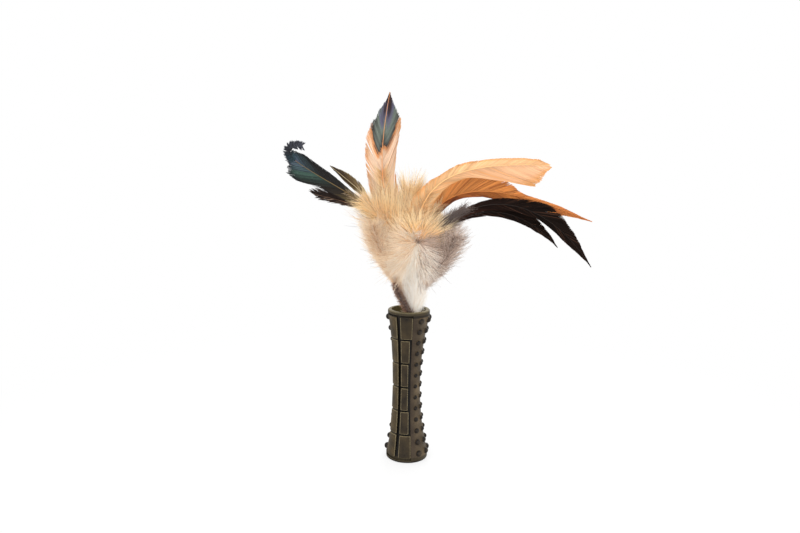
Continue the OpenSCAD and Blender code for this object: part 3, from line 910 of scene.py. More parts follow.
@dataclass(frozen=True)
class DownFinish:
    """Colours of loose down or pile.

    Attributes:
        name: Name of the material.
        stops: Colours from the root of a strand to its end.
        fleck: Colour of its odd single strands.
        fleck_share: Share of the strands that have it.
        spread: How much the strands differ in tone.
        root: Painted shade at the roots, where the strands crowd.
        roughness: Roughness of a strand.
        tufts: How much darker the darkest tuft is.
    """

    name: str
    stops: Stops
    fleck: int
    fleck_share: float
    spread: float = 0.25
    root: float = 0.75
    roughness: float = 0.8
    tufts: float = 0.16

    def material(self, shade: Effect) -> Material:
        """Builds the material.

        Args:
            shade: The shared light and dark of strands.

        Returns:
            The finished material.
        """
        surface = Surface(self.name, Specular_IOR_Level=0.2, Sheen_Weight=0.3, Sheen_Roughness=0.6)
        reach, tone = surface.attribute("reach"), surface.attribute("tone")
        cloud = surface.noise(90.0)
        wander = surface.linear(surface.minus(cloud, 0.5), 0.5, reach)
        colour = surface.ramp(wander, self.stops)
        fleck = surface.step(tone, 1 - self.fleck_share, 1.02 - self.fleck_share)
        colour = surface.blend(fleck, colour, self.fleck)
        out = surface.effect(shade, Tone=tone, Reach=reach, Spread=self.spread, Root=self.root)
        tuft = surface.linear(surface.attribute("part"), self.tufts, 1.0 - self.tufts)
        shaded = surface.times(out["Shade"], tuft)
        surface.feed("Base Color", surface.blend(1.0, colour, shaded, "MULTIPLY"))
        surface.feed("Roughness", surface.plus(out["Gloss"], self.roughness))
        return surface.material


@dataclass(frozen=True)
class Vane:
    """Half widths of a vane along its shaft, and how its barbs lie.

    Attributes:
        first: Stops of the half width on the first side: share of the length and millimetres.
        second: Stops on the second side.
        slant: How far a barb runs forward for each unit outward.
        split: How far groups of barbs part.
        groups: How many groups there are along the whole length.
        ragged: How much the barbs differ in length.
        loose: How far a barb's waves differ from its neighbour's.
        wave: Size of the waves, in millimetres.
    """

    first: Widths
    second: Widths
    slant: float = 1.7
    split: float = 0.3
    groups: float = 30.0
    ragged: float = 0.05
    loose: float = 0.02
    wave: float = 0.6

    def barb(self, stops: Widths, t: float, length: float) -> float:
        """Outward reach of the barb that roots at t, so that its slanted end meets the outline.

        Args:
            stops: Half widths of the side.
            t: Share of the length at the barb's root.
            length: Length of the route, in metres.

        Returns:
            Reach in metres.
        """
        step = 0.1 * MM
        reach = 0.0
        while reach < along_stops(stops, t + self.slant * self.sweep(t) * reach / length) * MM:
            reach += step
        return reach

    @staticmethod
    def sweep(t: float) -> float:
        """How much more the barbs slant at share t of the length than at the vane's foot."""
        return mix(1.0, 1.25, max(t - 0.7, 0) / 0.3)


@dataclass(frozen=True)
class Down:
    """Loose down at the foot of a vane.

    Attributes:
        start: Share of the length at which it begins.
        end: Share at which it ends.
        reach: Reach of its strands, in millimetres.
        count: Number of strands.
    """

    start: float
    end: float
    reach: float
    count: int


FEATHER_SEED, PLUME_SEED, LOCK_SEED, STEM_SEED, SEED_STEP = 100, 500, 800, 900, 10
BARB = {"Steps": 7, "Thickness": 0.08 * MM, "Flatness": 6.5, "Tilt": 0.3}
SOFT_DOWN = {"Thickness": 0.24 * MM, "Ragged": 0.6, "Camber": 0.0, "Wave_scale": 150.0, "Taper": 0.2}


class Part:
    """A soft part of the bundle, grown in place of its CAD node.

    Each class holds its node and its material slot and grows its own pieces.
    """

    node: str
    slot: str

    def pieces(self, trees: Trees, seed: int) -> list[Object]:
        """The part's own pieces."""
        raise NotImplementedError

    def build(self, trees: Trees, seed: int) -> list[Object]:
        """Grows the pieces and puts them on the bundle.

        Args:
            trees: The shared trees and effects.
            seed: Seed of everything random on them.

        Returns:
            The pieces.
        """
        pieces = self.pieces(trees, seed)
        for piece in pieces:
            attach(piece, BUNDLE)
            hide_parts(self.node)
        return pieces

    def foot(self, root: Vector) -> Vector:
        """Point straight below a root, at the lower end of the part's solid in the glue."""
        return Vector((root.x, root.y, Vector(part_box(self.node)[0]).z))


@dataclass(frozen=True)
class Feather(Part):
    """One long feather: a shaft, two vanes of separate barbs and the down at their foot.

    Attributes:
        node: CAD node that it stands for.
        route: Route of its shaft.
        vane: Widths and lie of its barbs.
        finish: Colours of the vane.
        shaft_code: Colour of the shaft.
        down: Down at the foot, if it has any.
        down_finish: Colours of the down.
        slot: The record's material slot; not used.
    """

    node: str
    route: Route
    vane: Vane
    finish: VaneFinish
    shaft_code: int
    down: Down | None
    down_finish: DownFinish
    slot: str

    FACE = Vector((0, -1, 0))
    SHAFT_POINTS = 48
    GUIDE_POINTS = 64
    DOWN_POINTS = 24
    BARBS_PER_MM = 8.5
    GIRTH_STOPS = [(0.0, 1.0), (0.35, 0.6), (1.0, 0.22), (1.01, 0.22)]
    BEND = 0.12
    DEPTH = 0.3 * MM
    DOWN_SEED = 50
    DOWN_FULL = 18
    DOWN_LEAST = 0.3
    DOWN_DEPTH = 0.6

    def pieces(self, trees: Trees, seed: int) -> list[Object]:
        """Shaft, vanes and down."""
        pieces = [self.shaft(trees), self.barbs(trees, seed)]
        return pieces + [self.fluff(trees, seed + self.DOWN_SEED)] if self.down else pieces

    def shaft(self, trees: Trees) -> Object:
        """The shaft with its quill, down to the glue.

        Args:
            trees: The shared trees and effects.

        Returns:
            The shaft.
        """
        root = self.route.point(0)
        foot = self.foot(root)
        points = [foot, Vector((root.x, root.y, mix(foot.z, root.z, 0.5)))]
        shares = [i / self.SHAFT_POINTS for i in range(self.SHAFT_POINTS + 1)]
        line = Guide(points + [self.route.point(t) for t in shares])
        line.numbers("girth", [QUILL_R] * 2 + [QUILL_R * along_stops(self.GIRTH_STOPS, t) for t in shares])
        line.numbers("along", [0, 0] + shares)
        surface = Surface(f"{self.node}_shaft", Roughness=0.5, Specular_IOR_Level=0.2)
        dark = srgb(self.shaft_code)
        pale = tuple(min(c * 1.25, 1) for c in dark)
        surface.feed("Base Color", surface.blend(surface.noise(300.0), dark, pale))
        surface.bump(surface.streaks(2500.0, 0.2), 0.02 * MM)
        return line.grown(f"{self.node}_shaft", trees.tube, surface.material)

    def barbs(self, trees: Trees, seed: int) -> Object:
        """Both vanes, each of separate flat barbs.

        Args:
            trees: The shared trees and effects.
            seed: Seed of everything random on it.

        Returns:
            The vanes, as one piece.
        """
        vane = self.vane
        start = min(vane.first[0][0], vane.second[0][0])
        length = self.route.length()
        line, shares = self.route.guide(start, 0.999, self.GUIDE_POINTS, self.FACE)
        first, second = ([vane.barb(stops, t, length) / (1 - self.BEND) for t in shares]
                         for stops in (vane.first, vane.second))
        line.reaches(first, second, [self.DEPTH] * len(shares), [vane.sweep(t) for t in shares])
        count = round(self.route.length(start) / MM * self.BARBS_PER_MM)
        return line.grown(f"{self.node}_vane", trees.flat, self.finish.material(trees.shade), **BARB,
                          Count=count, Seed=seed, Slant=vane.slant, Bend=self.BEND, Ragged=vane.ragged,
                          Spread=0.05, Split=vane.split, Groups=vane.groups, Camber=0.16, Wave=vane.wave * MM,
                          Wave_scale=110.0, Loose=vane.loose, Taper=0.25)

    def fluff(self, trees: Trees, seed: int) -> Object:
        """The loose down at the vane's foot, longest before the middle.

        Args:
            trees: The shared trees and effects.
            seed: Seed of everything random on it.

        Returns:
            The down.
        """
        down = self.down
        line, shares = self.route.guide(down.start, down.end, self.DOWN_POINTS, self.FACE)
        swell = [max(math.sin(math.pi * min(i / self.DOWN_FULL, 1) * 0.75 + 0.4), self.DOWN_LEAST)
                 for i in range(len(shares))]
        wide, deep = ([down.reach * MM * share * s for s in swell] for share in (1.0, self.DOWN_DEPTH))
        line.reaches(wide, wide, deep, [1.0] * len(shares))
        return line.airy(f"{self.node}_down", trees.round, self.down_finish.material(trees.shade),
                         Count=down.count, Steps=7, Seed=seed, Thickness=0.12 * MM, Slant=0.9, Ragged=0.5,
                         Spread=0.6, Split=0.5, Groups=20.0, Camber=0.05, Wave=2.4 * MM, Wave_scale=160.0,
                         Loose=0.5)


@dataclass(frozen=True)
class PlumeSize:
    """Place and reach of one downy plume.

    Attributes:
        slot: Place in the bundle, in shares of the quill spacing.
        angle: Direction in which it leans, in degrees.
        reach: How far out its tip is, in millimetres.
        rise: How far its tip is above the rim, in millimetres.
        spread: Longest outward reach of its strands, in millimetres.
        count: Number of strands.
    """

    slot: tuple[float, float]
    angle: float
    reach: float
    rise: float
    spread: float = 17.0
    count: int = 2600

    def lean(self) -> tuple[float, float]:
        """Level direction in which it leans."""
        return math.cos(math.radians(self.angle)), math.sin(math.radians(self.angle))

    def route(self) -> Route:
        """Route of its shaft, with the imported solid's bend points."""
        right, back = self.lean()
        return Route(self.slot, (right * self.reach, back * self.reach, self.rise), (0.26, 0.72, 0.72, 0.5))


@dataclass(frozen=True)
class Plume(Part):
    """One downy plume: a short shaft with soft strands all round it.

    Attributes:
        node: CAD node that it stands for.
        size: Its place and reach.
        finish: Colours of its strands.
        slot: The record's material slot; not used.
    """

    node: str
    size: PlumeSize
    finish: DownFinish
    slot: str

    START = 0.03
    END = 0.97
    BULK = [(0.0, 0.28), (0.25, 0.42), (0.5, 0.75), (0.75, 1.0), (1.0, 0.8), (1.01, 0.8)]
    DEPTH_SHARE = 0.7
    SHAFT_POINTS = 24
    GUIDE_POINTS = 48

    def pieces(self, trees: Trees, seed: int) -> list[Object]:
        """Shaft and strands."""
        return [self.shaft(trees), self.strands(trees, seed)]

    def shaft(self, trees: Trees) -> Object:
        """The plume's own thin shaft, down to the glue.

        Args:
            trees: The shared trees and effects.

        Returns:
            The shaft.
        """
        route = self.size.route()
        shares = [i / self.SHAFT_POINTS for i in range(self.SHAFT_POINTS - 1)]
        line = Guide([self.foot(route.point(0))] + [route.point(t) for t in shares])
        line.numbers("girth", [QUILL_R] + [QUILL_R * mix(1, 0.25, t) for t in shares])
        surface = Surface(f"{self.node}_shaft", Roughness=0.45)
        surface.feed("Base Color", surface.ramp(surface.noise(250.0), [(0.2, 0xC4A880), (0.8, 0xE2CEAC)]))
        return line.grown(f"{self.node}_shaft", trees.tube, surface.material)

    def strands(self, trees: Trees, seed: int) -> Object:
        """The soft strands, long at the middle and short at both ends.

        Args:
            trees: The shared trees and effects.
            seed: Seed of everything random on it.

        Returns:
            The strands, as one piece.
        """
        size = self.size
        line, shares = size.route().guide(self.START, self.END, self.GUIDE_POINTS, Vector((*size.lean(), 0)))
        reach = [size.spread * MM * along_stops(self.BULK, (t - self.START) / (1 - self.START))
                 for t in shares]
        line.reaches(reach, reach, [self.DEPTH_SHARE * r for r in reach], [mix(2.2, 0.7, t) for t in shares])
        return line.airy(f"{self.node}_down", trees.round, self.finish.material(trees.shade), **SOFT_DOWN,
                         Count=size.count, Steps=6, Seed=seed, Slant=1.1, Spread=math.pi / 2, Split=1.0,
                         Groups=60.0, Wave=5.0 * MM, Loose=0.45)


@dataclass(frozen=True)
class Lock(Part):
    """A lock of strands that all leave one short curve to one side.

    Attributes:
        name: What the lock is, for the piece's name.
        node: CAD node that it belongs to.
        slot: The record's material slot; not used.
        curve: Curve that it grows from.
        turn: Direction of the strands round the curve, in degrees from its right side.
        spread: Half the angle over which they fan out, in degrees.
        reach: Their outward reach at the start and at the end of the curve, in millimetres.
        sweep: How far they run along the curve for each unit outward, at its start and its end.
        finish: Their colours.
        count: How many there are.
        face: Direction that the curve's broad side looks in.
    """

    name: str
    node: str
    slot: str
    curve: Bezier
    turn: float
    spread: float
    reach: tuple[float, float]
    sweep: tuple[float, float]
    finish: DownFinish
    count: int = 1300
    face: Vector = Vector((0, 0.1, 1))

    GUIDE_POINTS = 20

    def pieces(self, trees: Trees, seed: int) -> list[Object]:
        """The lock's strands, as one piece.

        Args:
            trees: The shared trees and effects.
            seed: Seed of everything random on it.

        Returns:
            The piece, alone in a list.
        """
        line, shares = self.curve.guide(0.0, 1.0, self.GUIDE_POINTS, self.face)
        reach = [mix(*self.reach, t) * MM for t in shares]
        line.reaches(reach, reach, reach, [mix(*self.sweep, t) for t in shares])
        return [line.airy(self.name, trees.round, self.finish.material(trees.shade), **SOFT_DOWN,
                          Count=self.count, Steps=7, Seed=seed, Slant=1.0, Bend=0.05,
                          Spread=math.radians(self.spread), Turn=math.radians(self.turn), Two_sided=0.0,
                          Split=0.9, Groups=50.0, Wave=6.0 * MM, Loose=0.5)]


@dataclass(frozen=True)
class Curl(Part):
    """The crinkled barbs that curl back over a feather's tip.

    Attributes:
        name: What the curl is, for the piece's name.
        node: CAD node that it belongs to.
        slot: The record's material slot; not used.
        curve: Curve that it follows.
        reach: Reach of its barbs to each side, in millimetres.
        finish: Its colours.
        count: How many barbs there are.
    """

    name: str
    node: str
    slot: str
    curve: Bezier
    reach: float
    finish: VaneFinish
    count: int = 340

    GUIDE_POINTS = 24
    FACE = Vector((0, -1, 0.3))

    def pieces(self, trees: Trees, seed: int) -> list[Object]:
        """The curled barbs, as one piece.

        Args:
            trees: The shared trees and effects.
            seed: Seed of everything random on it.

        Returns:
            The piece, alone in a list.
        """
        line, shares = self.curve.guide(0.0, 1.0, self.GUIDE_POINTS, self.FACE)
        reach = [self.reach * MM * (1 - 0.3 * t) for t in shares]
        line.reaches(reach, reach, reach, [1.0] * len(shares))
        return [line.grown(self.name, trees.flat, self.finish.material(trees.shade), **BARB,
                           Count=self.count, Seed=seed, Slant=0.5, Ragged=0.4, Spread=0.5, Split=0.6,
                           Groups=14.0, Camber=0.3, Wave=1.2 * MM, Wave_scale=300.0, Loose=0.1)]


@dataclass(frozen=True)
class Stem(Part):
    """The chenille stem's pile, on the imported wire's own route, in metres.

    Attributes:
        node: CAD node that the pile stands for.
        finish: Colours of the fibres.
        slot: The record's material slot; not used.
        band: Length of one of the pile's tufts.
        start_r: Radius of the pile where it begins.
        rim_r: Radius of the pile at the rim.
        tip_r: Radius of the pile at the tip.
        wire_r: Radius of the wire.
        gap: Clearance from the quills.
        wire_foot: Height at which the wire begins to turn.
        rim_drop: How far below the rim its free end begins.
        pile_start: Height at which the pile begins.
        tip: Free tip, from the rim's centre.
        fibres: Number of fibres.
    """

    node: str
    finish: DownFinish
    slot: str
    band: float = 1.7 * MM
    start_r: float = 1.7 * MM
    rim_r: float = 2.9 * MM
    tip_r: float = 2.1 * MM
    wire_r: float = 0.6 * MM
    gap: float = 0.15 * MM
    wire_foot: float = 66.4 * MM
    rim_drop: float = 1.0 * MM
    pile_start: float = 84.0 * MM
    tip: Vector = Vector((-9.4, -14.0, 18.5)) * MM
    fibres: int = 6000

    BUNDLE_R = 2 * QUILL_PITCH + QUILL_R
    GUIDE_POINTS = 120
    FACE = Vector((0, -1, 0))

    def point(self, z: float) -> Vector:
        """Point of the wire at a height: half a turn round the quills, then a bend to the free tip.

        Args:
            z: The height, in metres.

        Returns:
            The point.
        """
        foot_r, rim_r = (self.BUNDLE_R + r + self.gap for r in (self.wire_r, self.rim_r))
        top = RIM.z - self.rim_drop
        climb = top - self.wire_foot
        if z <= top:
            s = (z - self.wire_foot) / climb
            r = mix(foot_r, rim_r, s)
            return Vector((r * math.sin(math.pi * s), r * math.cos(math.pi * s), z))
        free = RIM.z + self.tip.z - top
        d = z - top
        s = d / free
        slope = -math.pi * rim_r / climb
        out = (rim_r - foot_r) / climb
        return Vector((slope * d + (self.tip.x - slope * free) * s * s,
                       -rim_r - out * d + (self.tip.y + rim_r + out * free) * s * s, z))

    def pile_r(self, z: float) -> float:
        """Radius of the pile at a height, with its tufts.

        Args:
            z: The height, in metres.

        Returns:
            The radius.
        """
        r = mix(self.start_r, self.rim_r, (z - self.pile_start) / (RIM.z - self.pile_start))
        if z > RIM.z:
            r = mix(self.rim_r, self.tip_r, (z - RIM.z) / self.tip.z)
        return r * mix(0.9, 1.7, math.cos(math.tau * z / self.band / 2) ** 2)

    def pieces(self, trees: Trees, seed: int) -> list[Object]:
        """The pile's fibres, as one piece.

        Args:
            trees: The shared trees and effects.
            seed: Seed of everything random on it.

        Returns:
            The piece, alone in a list.
        """
        shares = [i / (self.GUIDE_POINTS - 1) for i in range(self.GUIDE_POINTS)]
        heights = [mix(self.pile_start, RIM.z + self.tip.z, t) for t in shares]
        line = Guide([self.point(z) for z in heights])
        ways = [(self.point(z + 0.1 * MM) - self.point(z - 0.1 * MM)).normalized() for z in heights]
        line.framed(ways, self.FACE, shares)
        radii = [self.pile_r(z) for z in heights]
        line.reaches(radii, radii, radii, [1.0] * len(radii))
        return [line.grown(f"{self.node}_fibres", trees.round, self.finish.material(trees.shade),
                           Count=self.fibres, Steps=3, Seed=seed, Thickness=0.2 * MM, Slant=0.3, Bend=0.0,
                           Ragged=0.7, Spread=math.pi / 2, Split=0.2, Groups=200.0, Camber=0.0,
                           Wave=0.5 * MM, Wave_scale=600.0, Loose=1.0)]


@dataclass(frozen=True)
class Hardware:
    """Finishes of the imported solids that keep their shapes: handle, plug, glue, thread and wire.

    The handle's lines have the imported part's own numbers, in millimetres and degrees. Its colours fade in
    over pairs of places: heights above the waist, angles past the sector, or depths into the ground.

    Attributes:
        trees: The shared trees and effects.
    """

    trees: Trees

    ARC_HALF = 46.5
    GROUND_LINE = (8.1, 13.6)
    TILE_LINE = (10.2, 13.2)
    SECTOR = -122.0
    COLUMN_EDGE = 6.5
    SIDE_TILE = 37.0
    WAIST_TILE = 25.0
    END_TILE = 36.0
    SECTOR_EDGE = 1.5
    LIP = 1.8
    GAP = 1.2
    ROWS = 6
    FADE = 0.5
    SHADE_TURN = (34.0, 6.0)
    RIM_SHADOW = (46.2, 46.7, 48.2, 47.7)
    DARK_FOOT = (-48.2, -49.2)
    RIM_HIGHLIGHT = (49.2, 49.8)
    WALL = (1.6, 2.0)
    NUB_LINE = (8.0, 13.5)
    NUB_R_LINE = (1.45, 2.18)
    LATE_NUBS = ((-54, 42.6), (-22, 72.2), (42, 35.2), (74, 42.6), (106, 42.6), (106, 64.8), (138, 64.8),
                 (170, 35.2), (170, 42.6))

    def dress(self) -> None:
        """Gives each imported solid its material."""
        makers = {"rubber_sleeve": self.rubber, "bundle_plug": self.plastic, "glue_fill": self.glue,
                  "binding_thread": self.thread, "chenille_core": self.wire}
        for node, make in makers.items():
            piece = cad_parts[node]
            material = make()
            if not piece.material_slots:
                piece.data.materials.append(material)
            for place in piece.material_slots:
                place.material = material
            LOG.info("%s: dressed in %s", node, material.name)
        self.late_nubs(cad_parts["rubber_sleeve"].material_slots[0].material)

    def late_nubs(self, material: Material) -> Object:
        """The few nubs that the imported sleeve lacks, on its own nub columns.

        Args:
            material: The sleeve's rubber.

        Returns:
            The nubs, as one piece.
        """
        points, radii = [], []
        for angle, z in self.LATE_NUBS:
            height = z - HANDLE_TALL / MM / 2
            out, r = (self.on_arc(*line, height) * MM for line in (self.NUB_LINE, self.NUB_R_LINE))
            turn = math.radians(angle)
            points.append(Vector((out * math.cos(turn), out * math.sin(turn), z * MM)))
            radii.append(r)
        line = Guide(points)
        line.numbers("girth", radii)
        nubs = line.grown("rubber_sleeve_late_nubs", self.trees.dome, material)
        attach(nubs, HANDLE)
        return nubs

    def on_arc(self, middle: float, end: float, height: float) -> float:
        """Value of a waisted line at a height above the waist, in millimetres."""
        arc = (self.ARC_HALF ** 2 + (end - middle) ** 2) / (2 * (end - middle))
        return middle + arc - math.sqrt(arc * arc - height * height)

    def waisted(self, surface: Surface, middle: float, end: float, height: Socket) -> Socket:
        """Radius of one of the handle's waisted lines, in millimetres.

        Args:
            surface: The material's nodes.
            middle: Radius at the waist.
            end: Radius at both ends.
            height: Height above the waist, in millimetres.

        Returns:
            The radius at that height.
        """
        arc = (self.ARC_HALF ** 2 + (end - middle) ** 2) / (2 * (end - middle))
        under = surface.minus(arc * arc, surface.power(height, 2.0))
        return surface.minus(middle + arc, surface.math("SQRT", under))

    def rubber(self) -> Material:
        """Dull olive-brown rubber with painted shade in its grooves, on its nubs, under the rim and on the
        ground past the tiles, painted highlights on the nub caps and the rim's edge, tile edges pale from
        wear and painted highlight, and the side tiles and the mouth's inner wall painted lighter as if lit.

        Returns:
            The finished material.
        """
        surface = Surface("Olive brown rubber", Specular_IOR_Level=0.2)
        parts = surface.add("ShaderNodeSeparateXYZ", {0: surface.place()}).outputs
        x, y, z = (surface.times(part, 1 / MM) for part in parts)
        height = surface.minus(z, HANDLE_TALL / MM / 2)
        radius = surface.math("SQRT", surface.plus(surface.power(x, 2.0), surface.power(y, 2.0)))
        turn = surface.times(surface.math("ARCTAN2", y, x), math.degrees(1))
        turn = surface.math("WRAP", surface.minus(turn, self.SECTOR), 180.0, -180.0)
        low, high = -self.COLUMN_EDGE - self.SIDE_TILE, self.COLUMN_EDGE + self.END_TILE
        first, last = low - self.SECTOR_EDGE, high + self.SECTOR_EDGE
        sector = surface.times(surface.step(turn, first - self.FADE, first + self.FADE),
                               surface.step(turn, last + self.FADE, last - self.FADE))
        under_tile = surface.minus(self.waisted(surface, *self.TILE_LINE, height), radius)
        over_ground = surface.minus(radius, self.waisted(surface, *self.GROUND_LINE, height))
        border = self.border(surface, turn, z, radius)
        out = surface.effect(self.trees.mottle)
        # pale tile edges: partly wear, partly a painted highlight on their rounded edges
        edge_wear_and_highlight = surface.times(surface.step(border, 0.5, 0.15), surface.step(border, -0.3, 0.0))
        edge_wear_and_highlight = surface.times(edge_wear_and_highlight, surface.step(under_tile, 0.7, 0.3))
        edge_wear_and_highlight = surface.times(edge_wear_and_highlight, surface.step(out["Grain"], 0.3, 0.55))
        plain = surface.ramp(out["Cloud"], [(0.3, 0x18120A), (0.7, 0x3A2F1D)])
        # painted light: the side tile column gets a lighter olive than the front column, for the light
        # falling on it from the left
        olive = surface.ramp(out["Cloud"], [(0.3, 0x261E10), (0.7, 0x4E4027)])
        plain = surface.blend(surface.step(turn, 1.0, -1.0), plain, olive)
        ground = surface.ramp(out["Cloud"], [(0.3, 0x362C1F), (0.7, 0x5E503C)])
        shadow = surface.times(surface.step(turn, *(high + more for more in self.SHADE_TURN)), 0.65)
        ground = surface.blend(shadow, ground, 0x281E18)
        # painted shade and highlight: nubs are dark at their base as shade and paler on their caps as a
        # painted highlight
        nub = surface.blend(surface.step(over_ground, 1.2, 2.2), 0x16100B, 0x382E21)
        other = surface.blend(surface.step(over_ground, 0.15, 0.7), ground, nub)
        colour = surface.blend(sector, other, plain)
        # painted shade: the grooves between the tiles are painted near-black for the shade in their depth
        groove = surface.times(surface.step(under_tile, 0.2, 0.7), sector)
        colour = surface.blend(groove, colour, 0x0D0906)
        # tile edges painted pale, as wear and painted highlight
        colour = surface.blend(surface.times(edge_wear_and_highlight, sector), colour, 0x786C52)
        band = surface.step(surface.size(height), self.ARC_HALF - 0.3, self.ARC_HALF + 0.6)
        colour = surface.blend(surface.times(band, 0.85), colour, 0x322A1A)
        # painted shadow: a dark ring under the rim's lip
        rim_shadow = surface.times(surface.step(height, *self.RIM_SHADOW[:2]),
                                  surface.step(height, *self.RIM_SHADOW[2:]))
        colour = surface.blend(surface.times(rim_shadow, 0.75), colour, 0x120D08)
        foot = surface.times(surface.step(height, *self.DARK_FOOT), 0.8)
        colour = surface.blend(foot, colour, 0x18120B)
        # painted highlight: a pale line along the rim's top edge
        rim = surface.times(surface.step(height, *self.RIM_HIGHLIGHT), 0.55)
        colour = surface.blend(rim, colour, 0x786E52)
        # painted light: the mouth's inner wall is painted paler, as if lit
        lit_hollow = surface.minus(self.waisted(surface, *self.GROUND_LINE, height), radius)
        lit_hollow = surface.step(lit_hollow, *self.WALL)
        colour = surface.blend(lit_hollow, colour, 0x625838)
        surface.feed("Base Color", colour)
        surface.feed("Roughness", surface.linear(out["Grain"], 0.25, 0.42))
        surface.bump(out["Grain"], 0.06 * MM)
        return surface.material

    def border(self, surface: Surface, turn: Socket, z: Socket, radius: Socket) -> Socket:
        """Distance from the nearest edge of a tile, in millimetres, positive on the tile.

        Args:
            surface: The material's nodes.
            turn: Angle from the deep groove, in degrees.
            z: Height, in millimetres.
            radius: Distance from the axis, in millimetres.

        Returns:
            The distance.
        """
        pitch = (HANDLE_TALL / MM - 2 * self.LIP - self.GAP) / self.ROWS
        rows = surface.math("DIVIDE", surface.minus(z, self.LIP + self.GAP / 2), pitch)
        place = surface.minus(surface.math("FRACT", rows), 0.5)
        above = surface.minus((pitch - self.GAP) / 2, surface.times(surface.size(place), pitch))
        away = surface.linear(surface.math("FLOOR", rows), 2 / (self.ROWS - 1), -1.0)
        wide = surface.lerp(surface.power(surface.size(away), 2.0), self.WAIST_TILE, self.END_TILE)
        front = surface.math("MINIMUM", surface.minus(turn, self.COLUMN_EDGE),
                             surface.minus(surface.plus(wide, self.COLUMN_EDGE), turn))
        side = surface.math("MINIMUM", surface.minus(-self.COLUMN_EDGE, turn),
                            surface.plus(turn, self.COLUMN_EDGE + self.SIDE_TILE))
        inside = surface.times(surface.math("MAXIMUM", front, side), math.radians(1))
        return surface.math("MINIMUM", surface.times(inside, radius), above)

    def plastic(self) -> Material:
        """Plain off-white plastic.

        Returns:
            The finished material.
        """
        surface = Surface("Off-white plastic", Specular_IOR_Level=0.5)
        out = surface.effect(self.trees.mottle)
        surface.feed("Base Color", surface.ramp(out["Cloud"], [(0.3, 0xCECABE), (0.7, 0xE4E1D6)]))
        surface.feed("Roughness", surface.linear(out["Grain"], 0.15, 0.35))
        surface.bump(out["Grain"], 0.02 * MM)
        return surface.material

    def glue(self) -> Material:
        """Yellowed hot-melt glue.

        Returns:
            The finished material.
        """
        surface = Surface("Hot-melt glue", Specular_IOR_Level=0.5, Roughness=0.25, Transmission_Weight=0.3)
        out = surface.effect(self.trees.mottle)
        surface.feed("Base Color", surface.ramp(out["Cloud"], [(0.3, 0xE2D2A0), (0.7, 0xF0E6C4)]))
        surface.bump(out["Cloud"], 0.3 * MM)
        return surface.material

    def thread(self) -> Material:
        """Cream cotton thread with its twist.

        Returns:
            The finished material.
        """
        surface = Surface("Cream thread", Roughness=0.8, Sheen_Weight=0.3)
        wave = surface.add("ShaderNodeTexWave", {"Vector": surface.stretched((1, 1, 2.2)), "Scale": 900.0,
                                                 "Distortion": 1.0}, bands_direction="DIAGONAL")
        surface.feed("Base Color", surface.ramp(wave.outputs["Fac"], [(0.2, 0xAA9676), (0.8, 0xE2D4B8)]))
        surface.bump(wave.outputs["Fac"], 0.06 * MM)
        return surface.material

    def wire(self) -> Material:
        """Dull twisted wire.

        Returns:
            The finished material.
        """
        surface = Surface("Twisted wire", Metallic=0.8)
        wave = surface.add("ShaderNodeTexWave", {"Vector": surface.place(), "Scale": 500.0},
                           bands_direction="DIAGONAL")
        surface.feed("Base Color", surface.ramp(wave.outputs["Fac"], [(0.2, 0x463C36), (0.8, 0x8C8278)]))
        surface.feed("Roughness", surface.linear(wave.outputs["Fac"], 0.2, 0.35))
        surface.bump(wave.outputs["Fac"], 0.1 * MM)
        return surface.material


